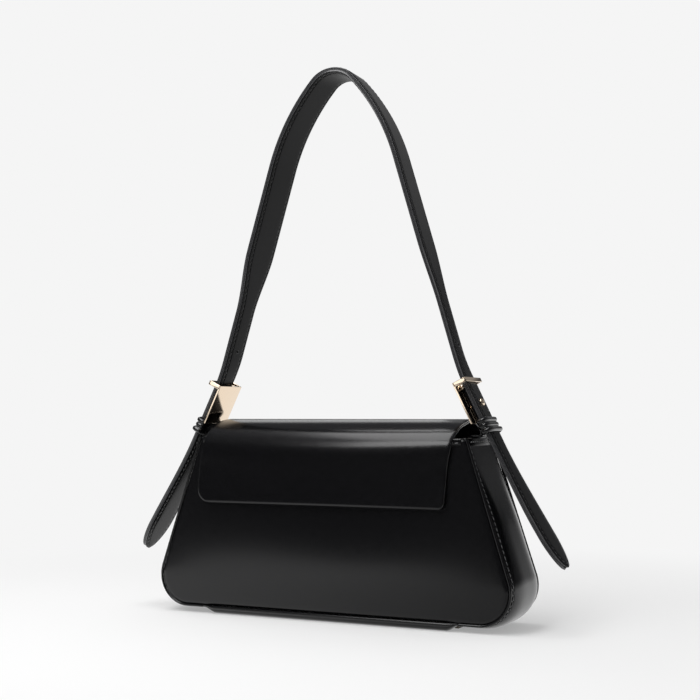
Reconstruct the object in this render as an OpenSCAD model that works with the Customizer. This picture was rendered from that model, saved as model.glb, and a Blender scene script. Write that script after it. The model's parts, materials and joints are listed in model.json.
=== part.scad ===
// Baguette shoulder bag: a trapezoid body of smooth leather, a fold-over flap with a magnetic snap,
// and one long strap that passes a plate buckle and a keeper at each side and hangs on as a tail.
// X runs along the bag, the front faces -Y, Z is up, and the origin is the middle of the base on the floor.

/* [Body] */
// Width of the body between the side seams at its widest
body_w = 280; // [240:1:320]
// Width between the side seams at the rim
rim_w = 215; // [190:1:240]
// Height of the rim above the floor
rim_z = 133.2; // [115:0.1:150]
// Height of the lower front seam above the floor
seam_z = 6.5; // [5:0.1:9]
// Radius of the lower corners
corner_r = 22; // [16:1:36]
// Depth between the front and back seams at the base
depth_base = 60; // [50:1:72]
// Depth between the front and back seams at the rim
depth_rim = 53; // [46:1:60]
// How far the front and back panels swell out
panel_bulge = 5; // [2:0.5:6]
// Length of the base panel
base_l = 208; // [190:1:214]
// Thickness of the body leather
leather_t = 1.4; // [1:0.1:1.6]
// Thickness of the lining cloth
lining_t = 0.6; // [0.4:0.1:0.7]
// Radius of the piping along the seams
piping_r = 1; // [0.8:0.1:1.2]

/* [Base] */
// Height of the folded lip along the lower seams
lip_h = 2.6; // [2:0.1:3]
// How far the lip stands out from the seam
lip_out = 1.3; // [0.8:0.1:2]
// Thickness of the stiff board in the base
board_t = 2; // [1:0.1:2.4]
// Thickness of the foam over the board
foam_t = 2.6; // [1:0.1:2.6]

/* [Rim] */
// Height of the bindings folded over the rim
binding_h = 4.5; // [3:0.5:8]
// Thickness of the binding leather
binding_t = 0.7; // [0.5:0.1:0.8]

/* [Pocket] */
// Width of the slip pocket on the back lining
pocket_w = 150; // [100:1:170]
// Height of the slip pocket
pocket_h = 80; // [60:1:90]

/* [Flap] */
// Distance from the rim's ends to the flap's sides
flap_inset = 7; // [6.5:0.5:17]
// Height of the flap's lower edge above the floor
flap_edge_z = 84.5; // [75:0.5:95]
// How far the lower edge hangs to the left of the middle
flap_lean = 6; // [0:0.5:7]
// Radius of the flap's lower corners
flap_corner_r = 9; // [5:0.5:20]
// Height of the flap's fold above the rim
flap_rise = 9.2; // [9:0.1:11]
// How far the flap's lower edge hangs in front of the panel's swell
flap_stand = 5.65; // [5.5:0.05:7]
// Thickness of the flap leather
flap_t = 1.3; // [1:0.1:1.5]
// Thickness of the flap lining
flap_lining_t = 0.8; // [0.5:0.1:1]

/* [Snap] */
// Diameter of the magnetic snap
snap_d = 18; // [14:1:20]
// Thickness of the socket half on the front panel
snap_socket_t = 1.8; // [1:0.1:1.9]
// Height of the snap above the floor
snap_z = 96; // [94:0.5:102]

/* [Strap] */
// Width of the strap over the shoulder
strap_w = 32; // [24:1:36]
// Width of the strap where it passes the buckles
strap_end_w = 19.5; // [14:0.5:20]
// Thickness of each of the strap's two leathers
strap_t = 2; // [1.6:0.1:2.1]
// Lean of the legs from the vertical, in degrees
leg_lean = 16.8; // [15:0.1:20]
// Radius of the bend at the top of the strap
crown_r = 20; // [14:1:30]
// Radius of the bends between the crown and the legs
shoulder_r = 159; // [110:1:180]
// Radius of the bends above the buckles
bend_r = 150; // [80:1:200]
// Height above the rim at which the strap starts to widen
taper_rise = 96; // [80:1:110]
// Height over which the strap widens
taper_h = 46; // [30:1:60]
// Distance from the rim to the tops of the buckle plates
plate_rise = 38.7; // [36:0.1:46]
// Distance that the plates' top edges lie inside the rim's ends
plate_inset = 12.2; // [10:0.1:13]
// How far the strap lies in front of the bag's middle
strap_front = 4; // [0:0.5:5]

/* [Buckles] */
// Lean of the buckle plates from the vertical, in degrees
plate_lean = 26.2; // [24:0.1:28]
// Width of the buckle plates
plate_w = 31.5; // [28:0.5:34]
// Length of the buckle plates
plate_l = 32; // [30:0.5:32]
// Thickness of the buckle plates
plate_t = 1.4; // [1:0.1:1.5]
// Depth of the loop over the strap, outside to outside
loop_d = 10.8; // [10.4:0.1:12]
// Height of the loop's band
loop_h = 3.3; // [2.5:0.1:3.4]
// Thickness of the loop's band
loop_t = 1.3; // [1:0.1:1.4]
// Radius of the pin that carries the tab
pin_r = 0.75; // [0.6:0.05:0.8]
// Radius of the stud's post
stud_r = 1.2; // [1:0.1:1.5]
// Radius of the stud's head
stud_head_r = 2.8; // [2.2:0.1:3]
// Distance of the stud below the plate's top
stud_drop = 19; // [17:0.5:20]

/* [Tabs] */
// Width of the tabs
tab_w = 15; // [12:0.5:15.5]
// Thickness of the folded tab
tab_t = 1.6; // [1.4:0.1:1.6]
// Length of the tab sewn inside the bag
tab_seam_l = 22; // [15:1:30]

/* [Keepers] */
// Length of the keepers along the strap
keeper_l = 9.5; // [8:0.5:9.5]
// Thickness of the keeper's band
keeper_t = 1; // [0.8:0.1:1]
// How far the two ridges stand out of the band
keeper_ridge = 0.8; // [0.4:0.1:1]

/* [Tails] */
// Length of the tails from the bend below the keepers
tail_l = 106; // [80:1:112]
// Widest part of the tails
tail_w = 28; // [20:1:30]
// Length of the tails' round tips
tail_tip_l = 24; // [14:1:30]
// Lean of the tails' tips from the vertical, in degrees
tail_lean = 33.5; // [29:0.5:36]

/* [Hidden] */

LEATHER = [0.035, 0.035, 0.04];
LEATHER_EDGE = [0.1, 0.1, 0.11];
LINING = [0.08, 0.08, 0.09];
GOLD = [0.86, 0.68, 0.4];
STEEL = [0.6, 0.6, 0.62];
BOARD = [0.45, 0.38, 0.3];
FOAM = [0.8, 0.8, 0.78];

// Gap between sewn layers, and between pieces that move past each other
sewn_gap = 0.15;
run_gap = 0.25;
hinge_gap = 0.3;

// Depth of the front panel's face outside the seam line, and of the lining stack inside it
panel_out = 0.9;
panel_in = leather_t - panel_out;
lining_in = panel_in + sewn_gap + lining_t;
wall_in = lining_in + sewn_gap;

// Side outline in the XZ plane: a corner arc and the straight side tangent to it
corner_c = [body_w / 2 - corner_r, seam_z + corner_r];
rim_p = [rim_w / 2, rim_z];
to_rim = rim_p - corner_c;
side_a = atan2(to_rim.y, to_rim.x) - acos(corner_r / norm(to_rim));
corner_steps = 10;
side_n = [cos(side_a), sin(side_a)];
side_down = [sin(side_a), -cos(side_a)];
side_l = norm(rim_p - corner_c - corner_r * side_n);

// Half depth of the bag at height z, and the tilt of the front panel that follows from it
function half_depth(z) =
    (depth_base + (depth_rim - depth_base) * (z - seam_z) / (rim_z - seam_z)) / 2;
panel_tilt = atan((depth_base - depth_rim) / 2 / (rim_z - seam_z));

function arc(c, r, a0, a1, steps) =
    [for (i = [0:steps]) let (a = a0 + (a1 - a0) * i / steps) c + r * [cos(a), sin(a)]];
function reverse(list) = [for (i = [len(list) - 1:-1:0]) list[i]];
function flip_x(list) = [for (p = list) [-p.x, p.y]];
function smooth(t) = let (k = min(1, max(0, t))) k * k * (3 - 2 * k);
function bezier(p, t) =
    pow(1 - t, 3) * p[0] + 3 * pow(1 - t, 2) * t * p[1] + 3 * (1 - t) * t * t * p[2] + pow(t, 3) * p[3];

// Raw top edge of the body's leather and lining, which the bindings cover up to the rim's height
edge_drop = binding_t + sewn_gap;
edge_z = rim_z - edge_drop;

// Points of the right side outline, pushed out by n, from the raw edge to the end of the base panel
base_x = base_l / 2 + sewn_gap;
function outline(n, end_x = base_x) = concat(
    [rim_p + n * side_n + edge_drop * side_down],
    arc(corner_c, corner_r + n, side_a, -90, corner_steps),
    [[end_x, seam_z - n]]);

// Half width of the panels at height z
side_z = corner_c.y + corner_r * sin(side_a);
function half_width(z) = z < side_z
    ? corner_c.x + sqrt(max(0, pow(corner_r, 2) - pow(z - corner_c.y, 2)))
    : rim_w / 2 + (rim_z - z) * tan(side_a);

// Swell of the panels: none at the seams, most a little below the middle
swell_top = rim_z - binding_h - 1.5;
function swell(u, z) = let (t = min(1, max(0, (z - seam_z) / (swell_top - seam_z))))
    panel_bulge * (1 - pow(abs(u), 2.6)) * sin(180 * pow(t, 0.75));

// Rows and columns of the panels' grid
row_z = concat(
    [for (i = [0:7]) corner_c.y + corner_r * sin(-90 + (side_a + 90) * i / 7)],
    [for (i = [1:12]) side_z + (swell_top - side_z) * i / 12], [edge_z]);
cols = 22;

module along_x(x0, x1) translate([x0, 0, 0]) rotate([90, 0, 90]) linear_extrude(x1 - x0) children();
module along_y(y0, y1) translate([0, y1, 0]) rotate([90, 0, 0]) linear_extrude(y1 - y0) children();
module both_sides_y() { children(); mirror([0, 1, 0]) children(); }
module left_of(left) mirror([left ? 1 : 0, 0, 0]) children();

// The plane of the front seam: local X along the bag, local Y into the bag, local Z up the panel
module front_plane() translate([0, -depth_base / 2, seam_z]) rotate([-panel_tilt, 0, 0]) children();

// A closed shell between two grids of points with the same rows and columns
module shell(outer, inner) {
    rows = len(outer);
    cols = len(outer[0]);
    n = rows * cols;
    points = [for (g = [outer, inner]) for (row = g) for (p = row) p];
    function id(i, j) = i * cols + j;
    faces = [
        for (i = [0:rows - 2]) for (j = [0:cols - 2])
            let (a = id(i, j), b = id(i + 1, j), c = id(i + 1, j + 1), d = id(i, j + 1))
            each [[a, b, c], [a, c, d], [n + c, n + b, n + a], [n + d, n + c, n + a]],
        for (i = [0:rows - 2]) let (a = id(i, 0), b = id(i + 1, 0)) each [[b, a, n + a], [b, n + a, n + b]],
        for (i = [0:rows - 2]) let (d = id(i, cols - 1), c = id(i + 1, cols - 1))
            each [[d, c, n + c], [d, n + c, n + d]],
        for (j = [0:cols - 2]) let (b = id(rows - 1, j), c = id(rows - 1, j + 1))
            each [[c, b, n + b], [c, n + b, n + c]],
        for (j = [0:cols - 2]) let (a = id(0, j), d = id(0, j + 1)) each [[a, d, n + d], [a, n + d, n + a]]
    ];
    polyhedron(points, faces);
}

// Front panel: a trapezoid with rounded lower corners that swells gently
module panel() {
    function grid(depth) = [for (z = row_z) [for (j = [0:cols]) let (u = 2 * j / cols - 1)
        [u * half_width(z), -(half_depth(z) + depth + swell(u, z)), z]]];
    shell(grid(panel_out), grid(-panel_in));
}

module front_panel() color(LEATHER) panel();
module back_panel() color(LEATHER) mirror([0, 1, 0]) panel();

// Cuts a side strip to the depth of the bag, less an edge allowance at the front and the back
module depth_cut(edge) {
    low = half_depth(0) - edge;
    high = half_depth(rim_z + binding_h) - edge;
    intersection() {
        children();
        along_x(-body_w, body_w)
            polygon([[-low, 0], [low, 0], [high, rim_z + binding_h], [-high, rim_z + binding_h]]);
    }
}

// A ribbon that follows the side outline between two offsets
module ribbon(n0, n1) along_y(-depth_base, depth_base)
    polygon(concat(outline(n1), reverse(outline(n0))));

gusset_out = 0.6;
gusset_in = leather_t - gusset_out;
module gusset() color(LEATHER) depth_cut(wall_in) ribbon(-gusset_in, gusset_out);
module right_gusset() gusset();
module left_gusset() left_of(true) gusset();

// Base panel: a shallow tray with a folded lip along the front and back seams
base_round = 6;
function base_profile(t) = let (y = depth_base / 2 + panel_out - t, r = base_round - t)
    concat([[-y, seam_z - sewn_gap]], arc([-y + r, r + t], r, 180, 270, 6),
        arc([y - r, r + t], r, 270, 360, 6), [[y, seam_z - sewn_gap]]);
module base_panel() color(LEATHER) {
    difference() {
        along_x(-base_l / 2, base_l / 2) polygon(base_profile(0));
        along_x(-base_l / 2 + leather_t, base_l / 2 - leather_t) polygon(concat(
            [[-depth_base / 2 - panel_out + leather_t, seam_z]], base_profile(leather_t),
            [[depth_base / 2 + panel_out - leather_t, seam_z]]));
    }
    both_sides_y() along_x(-base_l / 2, base_l / 2) {
        lip_c = [-depth_base / 2 - panel_out - lip_out + lip_h / 2, seam_z - sewn_gap - lip_h / 2];
        difference() {
            translate(lip_c) circle(d = lip_h, $fn = 24);
            translate([-depth_base / 2 - panel_out, 0]) square([lip_h, seam_z]);
        }
    }
}

// Piping: a cord in the seam that runs down the side and round the corner to the base panel,
// a hair thinner where it bends
piping_n = piping_r + 0.1;
bend_thin = 0.03;
bend_lap = 0.3;
module piping() color(LEATHER) front_plane() translate([0, 0, -seam_z]) {
    tangent = corner_c + (corner_r + piping_n) * side_n + bend_lap * side_down;
    translate([tangent.x, 0, tangent.y]) rotate([0, -side_a, 0])
        cylinder(r = piping_r, h = side_l + bend_lap, $fn = 16);
    translate([corner_c.x, 0, corner_c.y]) rotate([90, 0, 0]) rotate([0, 0, -90])
        rotate_extrude(angle = side_a + 90, $fn = 64)
        translate([corner_r + piping_n, 0]) circle(piping_r - bend_thin, $fn = 16);
    translate([base_x, 0, seam_z - piping_n]) rotate([0, 90, 0])
        cylinder(r = piping_r, h = corner_c.x + bend_lap - base_x, $fn = 16);
}
module left_front_piping() left_of(true) piping();
module right_front_piping() piping();
module left_back_piping() mirror([0, 1, 0]) left_of(true) piping();
module right_back_piping() mirror([0, 1, 0]) piping();

// Front and back linings: flat sheets just inside the panels
sheet_edge = 0.3;
module lining_sheet() color(LINING) front_plane() translate([0, 0, -seam_z])
    along_y(panel_in + sewn_gap, panel_in + sewn_gap + lining_t)
    polygon(concat(flip_x(reverse(outline(-sheet_edge, 0))), outline(-sheet_edge, 0)));
module front_lining() lining_sheet();
module back_lining() mirror([0, 1, 0]) lining_sheet();

// Body lining: one strip down both sides and over the base
lining_n = gusset_in + sewn_gap;
module body_lining() color(LINING) depth_cut(wall_in + 0.05) along_y(-depth_base, depth_base) polygon(concat(
    outline(-lining_n, 0), flip_x(reverse(outline(-lining_n, 0))),
    flip_x(outline(-lining_n - lining_t, 0)), reverse(outline(-lining_n - lining_t, 0))));

// Slip pocket: a sheet sewn flat on the back lining
pocket_z = 40;
module slip_pocket() color(LINING) mirror([0, 1, 0]) front_plane() translate([0, 0, -seam_z])
    along_y(wall_in, wall_in + lining_t)
    translate([-pocket_w / 2, pocket_z]) square([pocket_w, pocket_h]);

// Base board and the foam over it, closed in between the base panel and the lining
insert_end = 2;
insert_side = 8;
insert_l = base_l - 2 * (leather_t + insert_end);
insert_w = depth_base - 2 * insert_side;
board_z = leather_t + sewn_gap;
module base_board() color(BOARD)
    translate([-insert_l / 2, -insert_w / 2, board_z]) cube([insert_l, insert_w, board_t]);
module base_foam() color(FOAM)
    translate([-insert_l / 2, -insert_w / 2, board_z + board_t]) cube([insert_l, insert_w, foam_t]);

// Bindings: leather strips folded over the rim, the front one short of the seams
binding_end = 2.2;
module front_binding() color(LEATHER_EDGE) {
    y_out = half_depth(rim_z - binding_h) + panel_out + sewn_gap;
    y_in = half_depth(rim_z) - wall_in;
    half_l = rim_w / 2 - binding_end;
    difference() {
        translate([-half_l, -y_out - binding_t, rim_z - binding_h])
            cube([2 * half_l, y_out - y_in + 2 * binding_t, binding_h]);
        translate([-half_l - 1, -y_out, rim_z - binding_h - 1])
            cube([2 * half_l + 2, y_out - y_in, binding_h + 1 - binding_t]);
    }
}
module side_binding() {
    half_l = half_depth(rim_z) - wall_in - binding_t - 0.3;
    n_out = gusset_out + sewn_gap;
    n_in = -lining_n - lining_t - sewn_gap;
    function at(n, down) = rim_p + n * side_n + down * side_down;
    module wrap(n0, n1, high, low, half)
        along_y(-half, half) polygon([at(n0, -high), at(n1, -high), at(n1, low), at(n0, low)]);
    color(LEATHER_EDGE) difference() {
        wrap(n_in - binding_t, n_out + binding_t, 0, binding_h, half_l);
        wrap(n_in, n_out, -binding_t, binding_h + 1, half_l + 1);
    }
}
module right_binding() side_binding();
module left_binding() left_of(true) side_binding();

// Flap: a sheet that rises from the back rim, arches over the opening and hangs down the front
flap_in = flap_t + 0.05;
flap_w = rim_w - 2 * flap_inset;
fold_r = (flap_in + flap_lining_t) / 2;
flap_root = [half_depth(rim_z) + panel_out - leather_t / 2, edge_z + hinge_gap + fold_r];
back_lean = 13;
back_reach = 17;
fold_reach = [12, 6];
fold_in = 6.5;
hang_reach = [20, 10];
hang_rise = 37.5;
hang_out = 6.7;
flap_back = flap_root + fold_r * [cos(back_lean), sin(back_lean)];
flap_fold = [fold_in - half_depth(rim_z), rim_z + flap_rise];
over_curve = [flap_back, flap_back + back_reach * [-sin(back_lean), cos(back_lean)],
    flap_fold + fold_reach, flap_fold];
front_curve = [flap_fold, flap_fold - hang_reach,
    [-half_depth(flap_edge_z + hang_rise) - hang_out, flap_edge_z + hang_rise],
    [-half_depth(flap_edge_z) - panel_bulge - flap_stand, flap_edge_z]];
flap_steps = 14;
function curve_points(c, n) = [for (i = [0:flap_steps]) let (
    t = i / flap_steps, e = 0.01, d = bezier(c, t + e) - bezier(c, t - e), u = d / norm(d))
    bezier(c, t) + n * [u.y, -u.x]];
module curve_sheet(c, n0, n1) polygon(concat(curve_points(c, n0), reverse(curve_points(c, n1))));

// Each end of a sheet is half round about the axis on which the leather bends
function along(c, t) = let (d = bezier(c, t + 0.01) - bezier(c, t - 0.01)) atan2(d.y, d.x);
fold_lean = along(over_curve, 1);
fold_axis = flap_fold + fold_r * [-sin(fold_lean), cos(fold_lean)];
module round_end(axis, lean, n0, n1) translate(axis) rotate(lean) intersection() {
    circle(fold_r - 0.02, $fn = 32);
    translate([-fold_r, -fold_r - n0]) square([fold_r + 0.1, n0 - n1]);
}

module flap_over(n0, n1) along_x(-flap_w / 2, flap_w / 2) {
    difference() {
        curve_sheet(over_curve, n0, n1);
        translate(fold_axis) circle(fold_r + hinge_gap, $fn = 32);
    }
    round_end(flap_root, along(over_curve, 0), n0, n1);
}
module flap_top() color(LEATHER) flap_over(0, -flap_t);
module flap_top_lining() color(LEATHER) flap_over(-flap_in, -flap_in - flap_lining_t);

// Front view of the hanging part: sides that turn to the left, and round lower corners
lean_rise = 40;
lean_z = flap_edge_z + lean_rise;
lean_start = flap_lean * 0.4;
module flap_view() {
    half = flap_w / 2;
    r = flap_corner_r;
    high = flap_fold.y + 4;
    polygon(concat([[half, high], [half - lean_start, lean_z]],
        arc([half - r - flap_lean, flap_edge_z + r], r, 0, -90, 8),
        arc([-half + r - flap_lean, flap_edge_z + r], r, -90, -180, 8),
        [[-half - lean_start, lean_z], [-half, high]]));
}
module flap_hang(n0, n1) intersection() {
    along_x(-flap_w, flap_w) {
        curve_sheet(front_curve, n0, n1);
        round_end(fold_axis, fold_lean, n0, n1);
    }
    along_y(-depth_base, 0) flap_view();
}
module flap_front() color(LEATHER) flap_hang(0, -flap_t);

// Snap: a socket on the front panel and a stud on the flap, each with its washer behind the leather
snap_tilt = 5;
seat_gap = 0.25;
stud_half_t = 1.4;
washer_t = 0.8;
snap_x = -flap_lean * 0.7;
function flap_y(z) = lookup(z, [for (p = reverse(curve_points(front_curve, -flap_in - flap_lining_t))) [p.y, p.x]]);
panel_y = -(half_depth(snap_z) + panel_out + swell(0, snap_z));
module snap_at(y) translate([snap_x, y, snap_z]) rotate([90 - snap_tilt, 0, 0]) children();
module snap_socket() color(GOLD) snap_at(panel_y - seat_gap) difference() {
    cylinder(d = snap_d, h = snap_socket_t, $fn = 48);
    translate([0, 0, 0.6]) cylinder(d = snap_d - 5, h = snap_socket_t, $fn = 48);
}
module snap_socket_washer() color(STEEL) snap_at(panel_y + leather_t + washer_t + seat_gap) difference() {
    cylinder(d = snap_d - 3, h = washer_t, $fn = 40);
    translate([0, 0, -1]) cylinder(r = 2, h = washer_t + 2, $fn = 24);
}
module snap_stud() color(GOLD) snap_at(flap_y(snap_z) + seat_gap + stud_half_t) {
    cylinder(d = snap_d - 6, h = stud_half_t, $fn = 48);
    translate([0, 0, stud_half_t - 0.6]) cylinder(d = snap_d, h = 0.6, $fn = 48);
}
module snap_stud_washer() color(STEEL) snap_at(flap_y(snap_z) - 0.1) cylinder(d = snap_d - 4, h = 0.5, $fn = 40);
module flap_front_lining() color(LEATHER) difference() {
    flap_hang(-flap_in, -flap_in - flap_lining_t);
    snap_at(flap_y(snap_z) + 2) cylinder(d = snap_d - 3.4, h = 6, $fn = 40);
}

// Buckle frame: u runs down the plate from its top edge, v outward from its inner face
plate_top = [rim_w / 2 - plate_inset, rim_z + plate_rise];
function uv(u, v) = plate_top + u * [sin(plate_lean), -cos(plate_lean)] + v * [cos(plate_lean), sin(plate_lean)];

// Stack from the plate outward: tab, lining half of the strap, outer half of the strap
tab_v = plate_t + 1.5;
strap_v = tab_v + tab_t + run_gap - 0.05 + strap_t;
strap_in_v = strap_v - strap_t;
strap_out_v = strap_v + strap_t;
layer_gap = 0.05;

// Where the pieces lie down the plate
pin_u = loop_h + pin_r + 0.3;
pin_v = plate_t + pin_r + tab_t / 2 + 0.1;
keeper_u = plate_l - 1;
tail_u = keeper_u + keeper_l + strap_t + run_gap;
strap_end_u = keeper_u + keeper_l;
bend_u = 2;

// Right half of the strap's middle line, from its end in the keeper up to the crown, as [x, z, lean]
bend_p = uv(bend_u, strap_v);
leg_p = bend_p + bend_r * [cos(plate_lean) - cos(leg_lean), sin(plate_lean) - sin(leg_lean)];
crown_lean = 42.7;
crown_p = [crown_r * cos(crown_lean), 0];
shoulder_x = crown_p.x + shoulder_r * (cos(leg_lean) - cos(crown_lean));
leg_l = (leg_p.x - shoulder_x) / sin(leg_lean);
shoulder_z = leg_p.y + leg_l * cos(leg_lean);
crown_z = shoulder_z + shoulder_r * (sin(crown_lean) - sin(leg_lean));
arch_z = crown_z + crown_r * (1 - sin(crown_lean));
strap_line = concat(
    [concat(uv(strap_end_u, strap_v), plate_lean)],
    [for (i = [0:3]) let (a = plate_lean + (leg_lean - plate_lean) * i / 3)
        [bend_p.x + bend_r * (cos(plate_lean) - cos(a)), bend_p.y + bend_r * (sin(plate_lean) - sin(a)), a]],
    [for (i = [0:7]) let (a = leg_lean + (crown_lean - leg_lean) * i / 7)
        [shoulder_x + shoulder_r * (cos(a) - cos(leg_lean)), shoulder_z + shoulder_r * (sin(a) - sin(leg_lean)), a]],
    [for (i = [1:8]) let (a = crown_lean + (90 - crown_lean) * i / 8)
        [crown_p.x + crown_r * (cos(a) - cos(crown_lean)), crown_z + crown_r * (sin(a) - sin(crown_lean)), a]]);
function line_offset(line, v) = [for (p = line) [p.x + v * cos(p.z), p.y + v * sin(p.z)]];
function arch(v) = let (half = line_offset(strap_line, v)) concat(half, reverse([for (p = half) [-p.x, p.y]]));

// Side view of the strap: wide over the shoulder, narrow where it passes the buckles
taper_low = rim_z + taper_rise;
taper_high = taper_low + taper_h;
taper_steps = 6;
function strap_half(z) = strap_end_w / 2 + (strap_w - strap_end_w) / 2 * smooth((z - taper_low) / taper_h);
strap_rows = concat([rim_z - plate_l], [for (i = [0:taper_steps]) taper_low + taper_h * i / taper_steps],
    [arch_z + strap_w]);
hole_r = stud_r + 0.3;
spare_hole_u = -24;
module stud_axis(u) translate([uv(u, 0).x, -strap_front, uv(u, 0).y]) rotate([0, 90 - plate_lean, 0]) children();
module strap_layer(v0, v1) difference() {
    intersection() {
        along_y(-body_w, body_w) polygon(concat(arch(v1), reverse(arch(v0))));
        along_x(-body_w, body_w) polygon(concat(
            [for (z = strap_rows) [-strap_front + strap_half(z), z]],
            reverse([for (z = strap_rows) [-strap_front - strap_half(z), z]])));
    }
    for (left = [true, false]) left_of(left) {
        stud_axis(stud_drop) cylinder(r = hole_r, h = strap_w, $fn = 24);
        stud_axis(spare_hole_u) translate([0, 0, -strap_w]) cylinder(r = hole_r, h = 2 * strap_w, $fn = 24);
    }
}
module strap() color(LEATHER) strap_layer(layer_gap / 2, strap_t);
module strap_lining() color(LEATHER) strap_layer(-strap_t, -layer_gap / 2);

// Tab: a strip folded round the buckle's pin that runs down inside the strap to the rim
foot_z = rim_z + 1;
foot_x = rim_w / 2 + 2.7;
foot_gap = 0.4;
function u_at(z, v) = (plate_top.y + v * sin(plate_lean) - z) / cos(plate_lean);
foot_cut = [1.7, 2];
fold_l = 5;
module tab() color(LEATHER) translate([0, -strap_front, 0]) difference() {
    along_y(-tab_w / 2, tab_w / 2) {
        translate(uv(pin_u, pin_v)) circle(pin_r + tab_t / 2, $fn = 32);
        polygon([
            uv(pin_u, pin_v - tab_t / 2), uv(pin_u + fold_l, tab_v),
            uv(u_at(foot_z + tab_t, tab_v), tab_v), [foot_x, foot_z + tab_t], [foot_x, foot_z],
            uv(u_at(foot_z, tab_v + tab_t), tab_v + tab_t) - [foot_cut.x, 0],
            uv(u_at(foot_z + foot_cut.y, tab_v + tab_t), tab_v + tab_t),
            uv(pin_u + fold_l, tab_v + tab_t), uv(pin_u, pin_v + tab_t / 2)]);
    }
    translate([uv(pin_u, pin_v).x, 0, uv(pin_u, pin_v).y]) rotate([90, 0, 0])
        cylinder(r = pin_r + layer_gap, h = plate_w, center = true, $fn = 24);
    translate([0, strap_front, 0]) stud_axis(stud_drop) cylinder(r = hole_r, h = strap_w, $fn = 24);
}
module right_tab() tab();
module left_tab() left_of(true) tab();

// Tab anchor: the end of the tab that goes over the rim and is sewn inside the bag
module tab_anchor() color(LEATHER) translate([0, -strap_front, 0]) along_y(-tab_w / 2, tab_w / 2) {
    n = -lining_n - lining_t - binding_t - 2 * sewn_gap;
    top = rim_p + n * side_n;
    polygon([
        [foot_x - foot_gap, foot_z], [foot_x - foot_gap, foot_z + tab_t],
        [top.x - tab_t - 1.4, foot_z + tab_t], top - tab_t * side_n + tab_seam_l * side_down,
        top + tab_seam_l * side_down, [top.x - (foot_z - top.y) * tan(side_a), foot_z]]);
}
module right_tab_anchor() tab_anchor();
module left_tab_anchor() left_of(true) tab_anchor();

// Buckle: a mirror plate with a loop over the strap and two ears that hold the pin
ear_y = tab_w / 2 + 0.4;
ear_t = 1.5;
ear_r = pin_r + 0.9;
module buckle() color(GOLD) translate([0, -strap_front, 0]) difference() {
    union() {
        along_y(-plate_w / 2, plate_w / 2)
            polygon([uv(0, 0), uv(0, plate_t), uv(plate_l, plate_t), uv(plate_l, 0)]);
        difference() {
            along_y(-plate_w / 2, plate_w / 2)
                polygon([uv(0, 0), uv(0, loop_d), uv(loop_h, loop_d), uv(loop_h, 0)]);
            along_y(-plate_w / 2 + loop_t, plate_w / 2 - loop_t)
                polygon([uv(-1, plate_t), uv(-1, loop_d - loop_t), uv(loop_h + 1, loop_d - loop_t),
                    uv(loop_h + 1, plate_t)]);
        }
        both_sides_y() along_y(ear_y, ear_y + ear_t) {
            translate(uv(pin_u, pin_v)) circle(ear_r, $fn = 32);
            polygon([uv(pin_u - ear_r, plate_t / 2), uv(pin_u - ear_r, pin_v),
                uv(pin_u + ear_r, pin_v), uv(pin_u + ear_r, plate_t / 2)]);
        }
    }
    translate([uv(pin_u, pin_v).x, 0, uv(pin_u, pin_v).y]) rotate([90, 0, 0])
        cylinder(r = pin_r + 0.02, h = plate_w - 2, center = true, $fn = 24);
}
module right_buckle() buckle();
module left_buckle() left_of(true) buckle();

// Pin: a round bar through both ears and the fold of the tab
module pin() color(GOLD) translate([uv(pin_u, pin_v).x, -strap_front, uv(pin_u, pin_v).y])
    rotate([90, 0, 0]) cylinder(r = pin_r, h = 2 * (ear_y + ear_t) + 0.4, center = true, $fn = 24);
module right_pin() pin();
module left_pin() left_of(true) pin();

// Stud: a post on the plate that passes the tab and the strap and ends in a domed head
module stud() color(GOLD) stud_axis(stud_drop) {
    translate([0, 0, plate_t]) cylinder(r = stud_r, h = strap_out_v + run_gap - plate_t + 0.1, $fn = 24);
    translate([0, 0, strap_out_v + run_gap]) cylinder(r = stud_head_r, h = 0.6, $fn = 32);
    translate([0, 0, strap_out_v + run_gap + 0.6]) rotate_extrude($fn = 32) intersection() {
        scale([1, 0.5]) circle(stud_head_r, $fn = 32);
        square(stud_head_r);
    }
}
module right_stud() stud();
module left_stud() left_of(true) stud();

// Keeper: a closed band round the tab and the strap, with two ridges
keeper_v0 = tab_v - run_gap;
keeper_v1 = strap_out_v + run_gap;
keeper_half = strap_end_w / 2 + run_gap;
module keeper_ring(u0, u1, out) {
    v0 = keeper_v0 - keeper_t;
    v1 = keeper_v1 + keeper_t + out;
    half = keeper_half + keeper_t + out;
    module bar(y0, y1, a, b) along_y(y0, y1) polygon([uv(u0, a), uv(u0, b), uv(u1, b), uv(u1, a)]);
    difference() {
        bar(-half, half, v0, v1);
        along_y(-keeper_half, keeper_half)
            polygon([uv(u0 - 1, keeper_v0), uv(u0 - 1, keeper_v1), uv(u1 + 1, keeper_v1), uv(u1 + 1, keeper_v0)]);
    }
}
module keeper() color(LEATHER) translate([0, -strap_front, 0]) {
    keeper_ring(keeper_u, keeper_u + keeper_l, 0);
    keeper_ring(keeper_u + 0.3, keeper_u + keeper_l * 0.45, keeper_ridge);
    keeper_ring(keeper_u + keeper_l * 0.6, keeper_u + keeper_l - 0.3, keeper_ridge);
}
module right_keeper() keeper();
module left_keeper() left_of(true) keeper();

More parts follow.
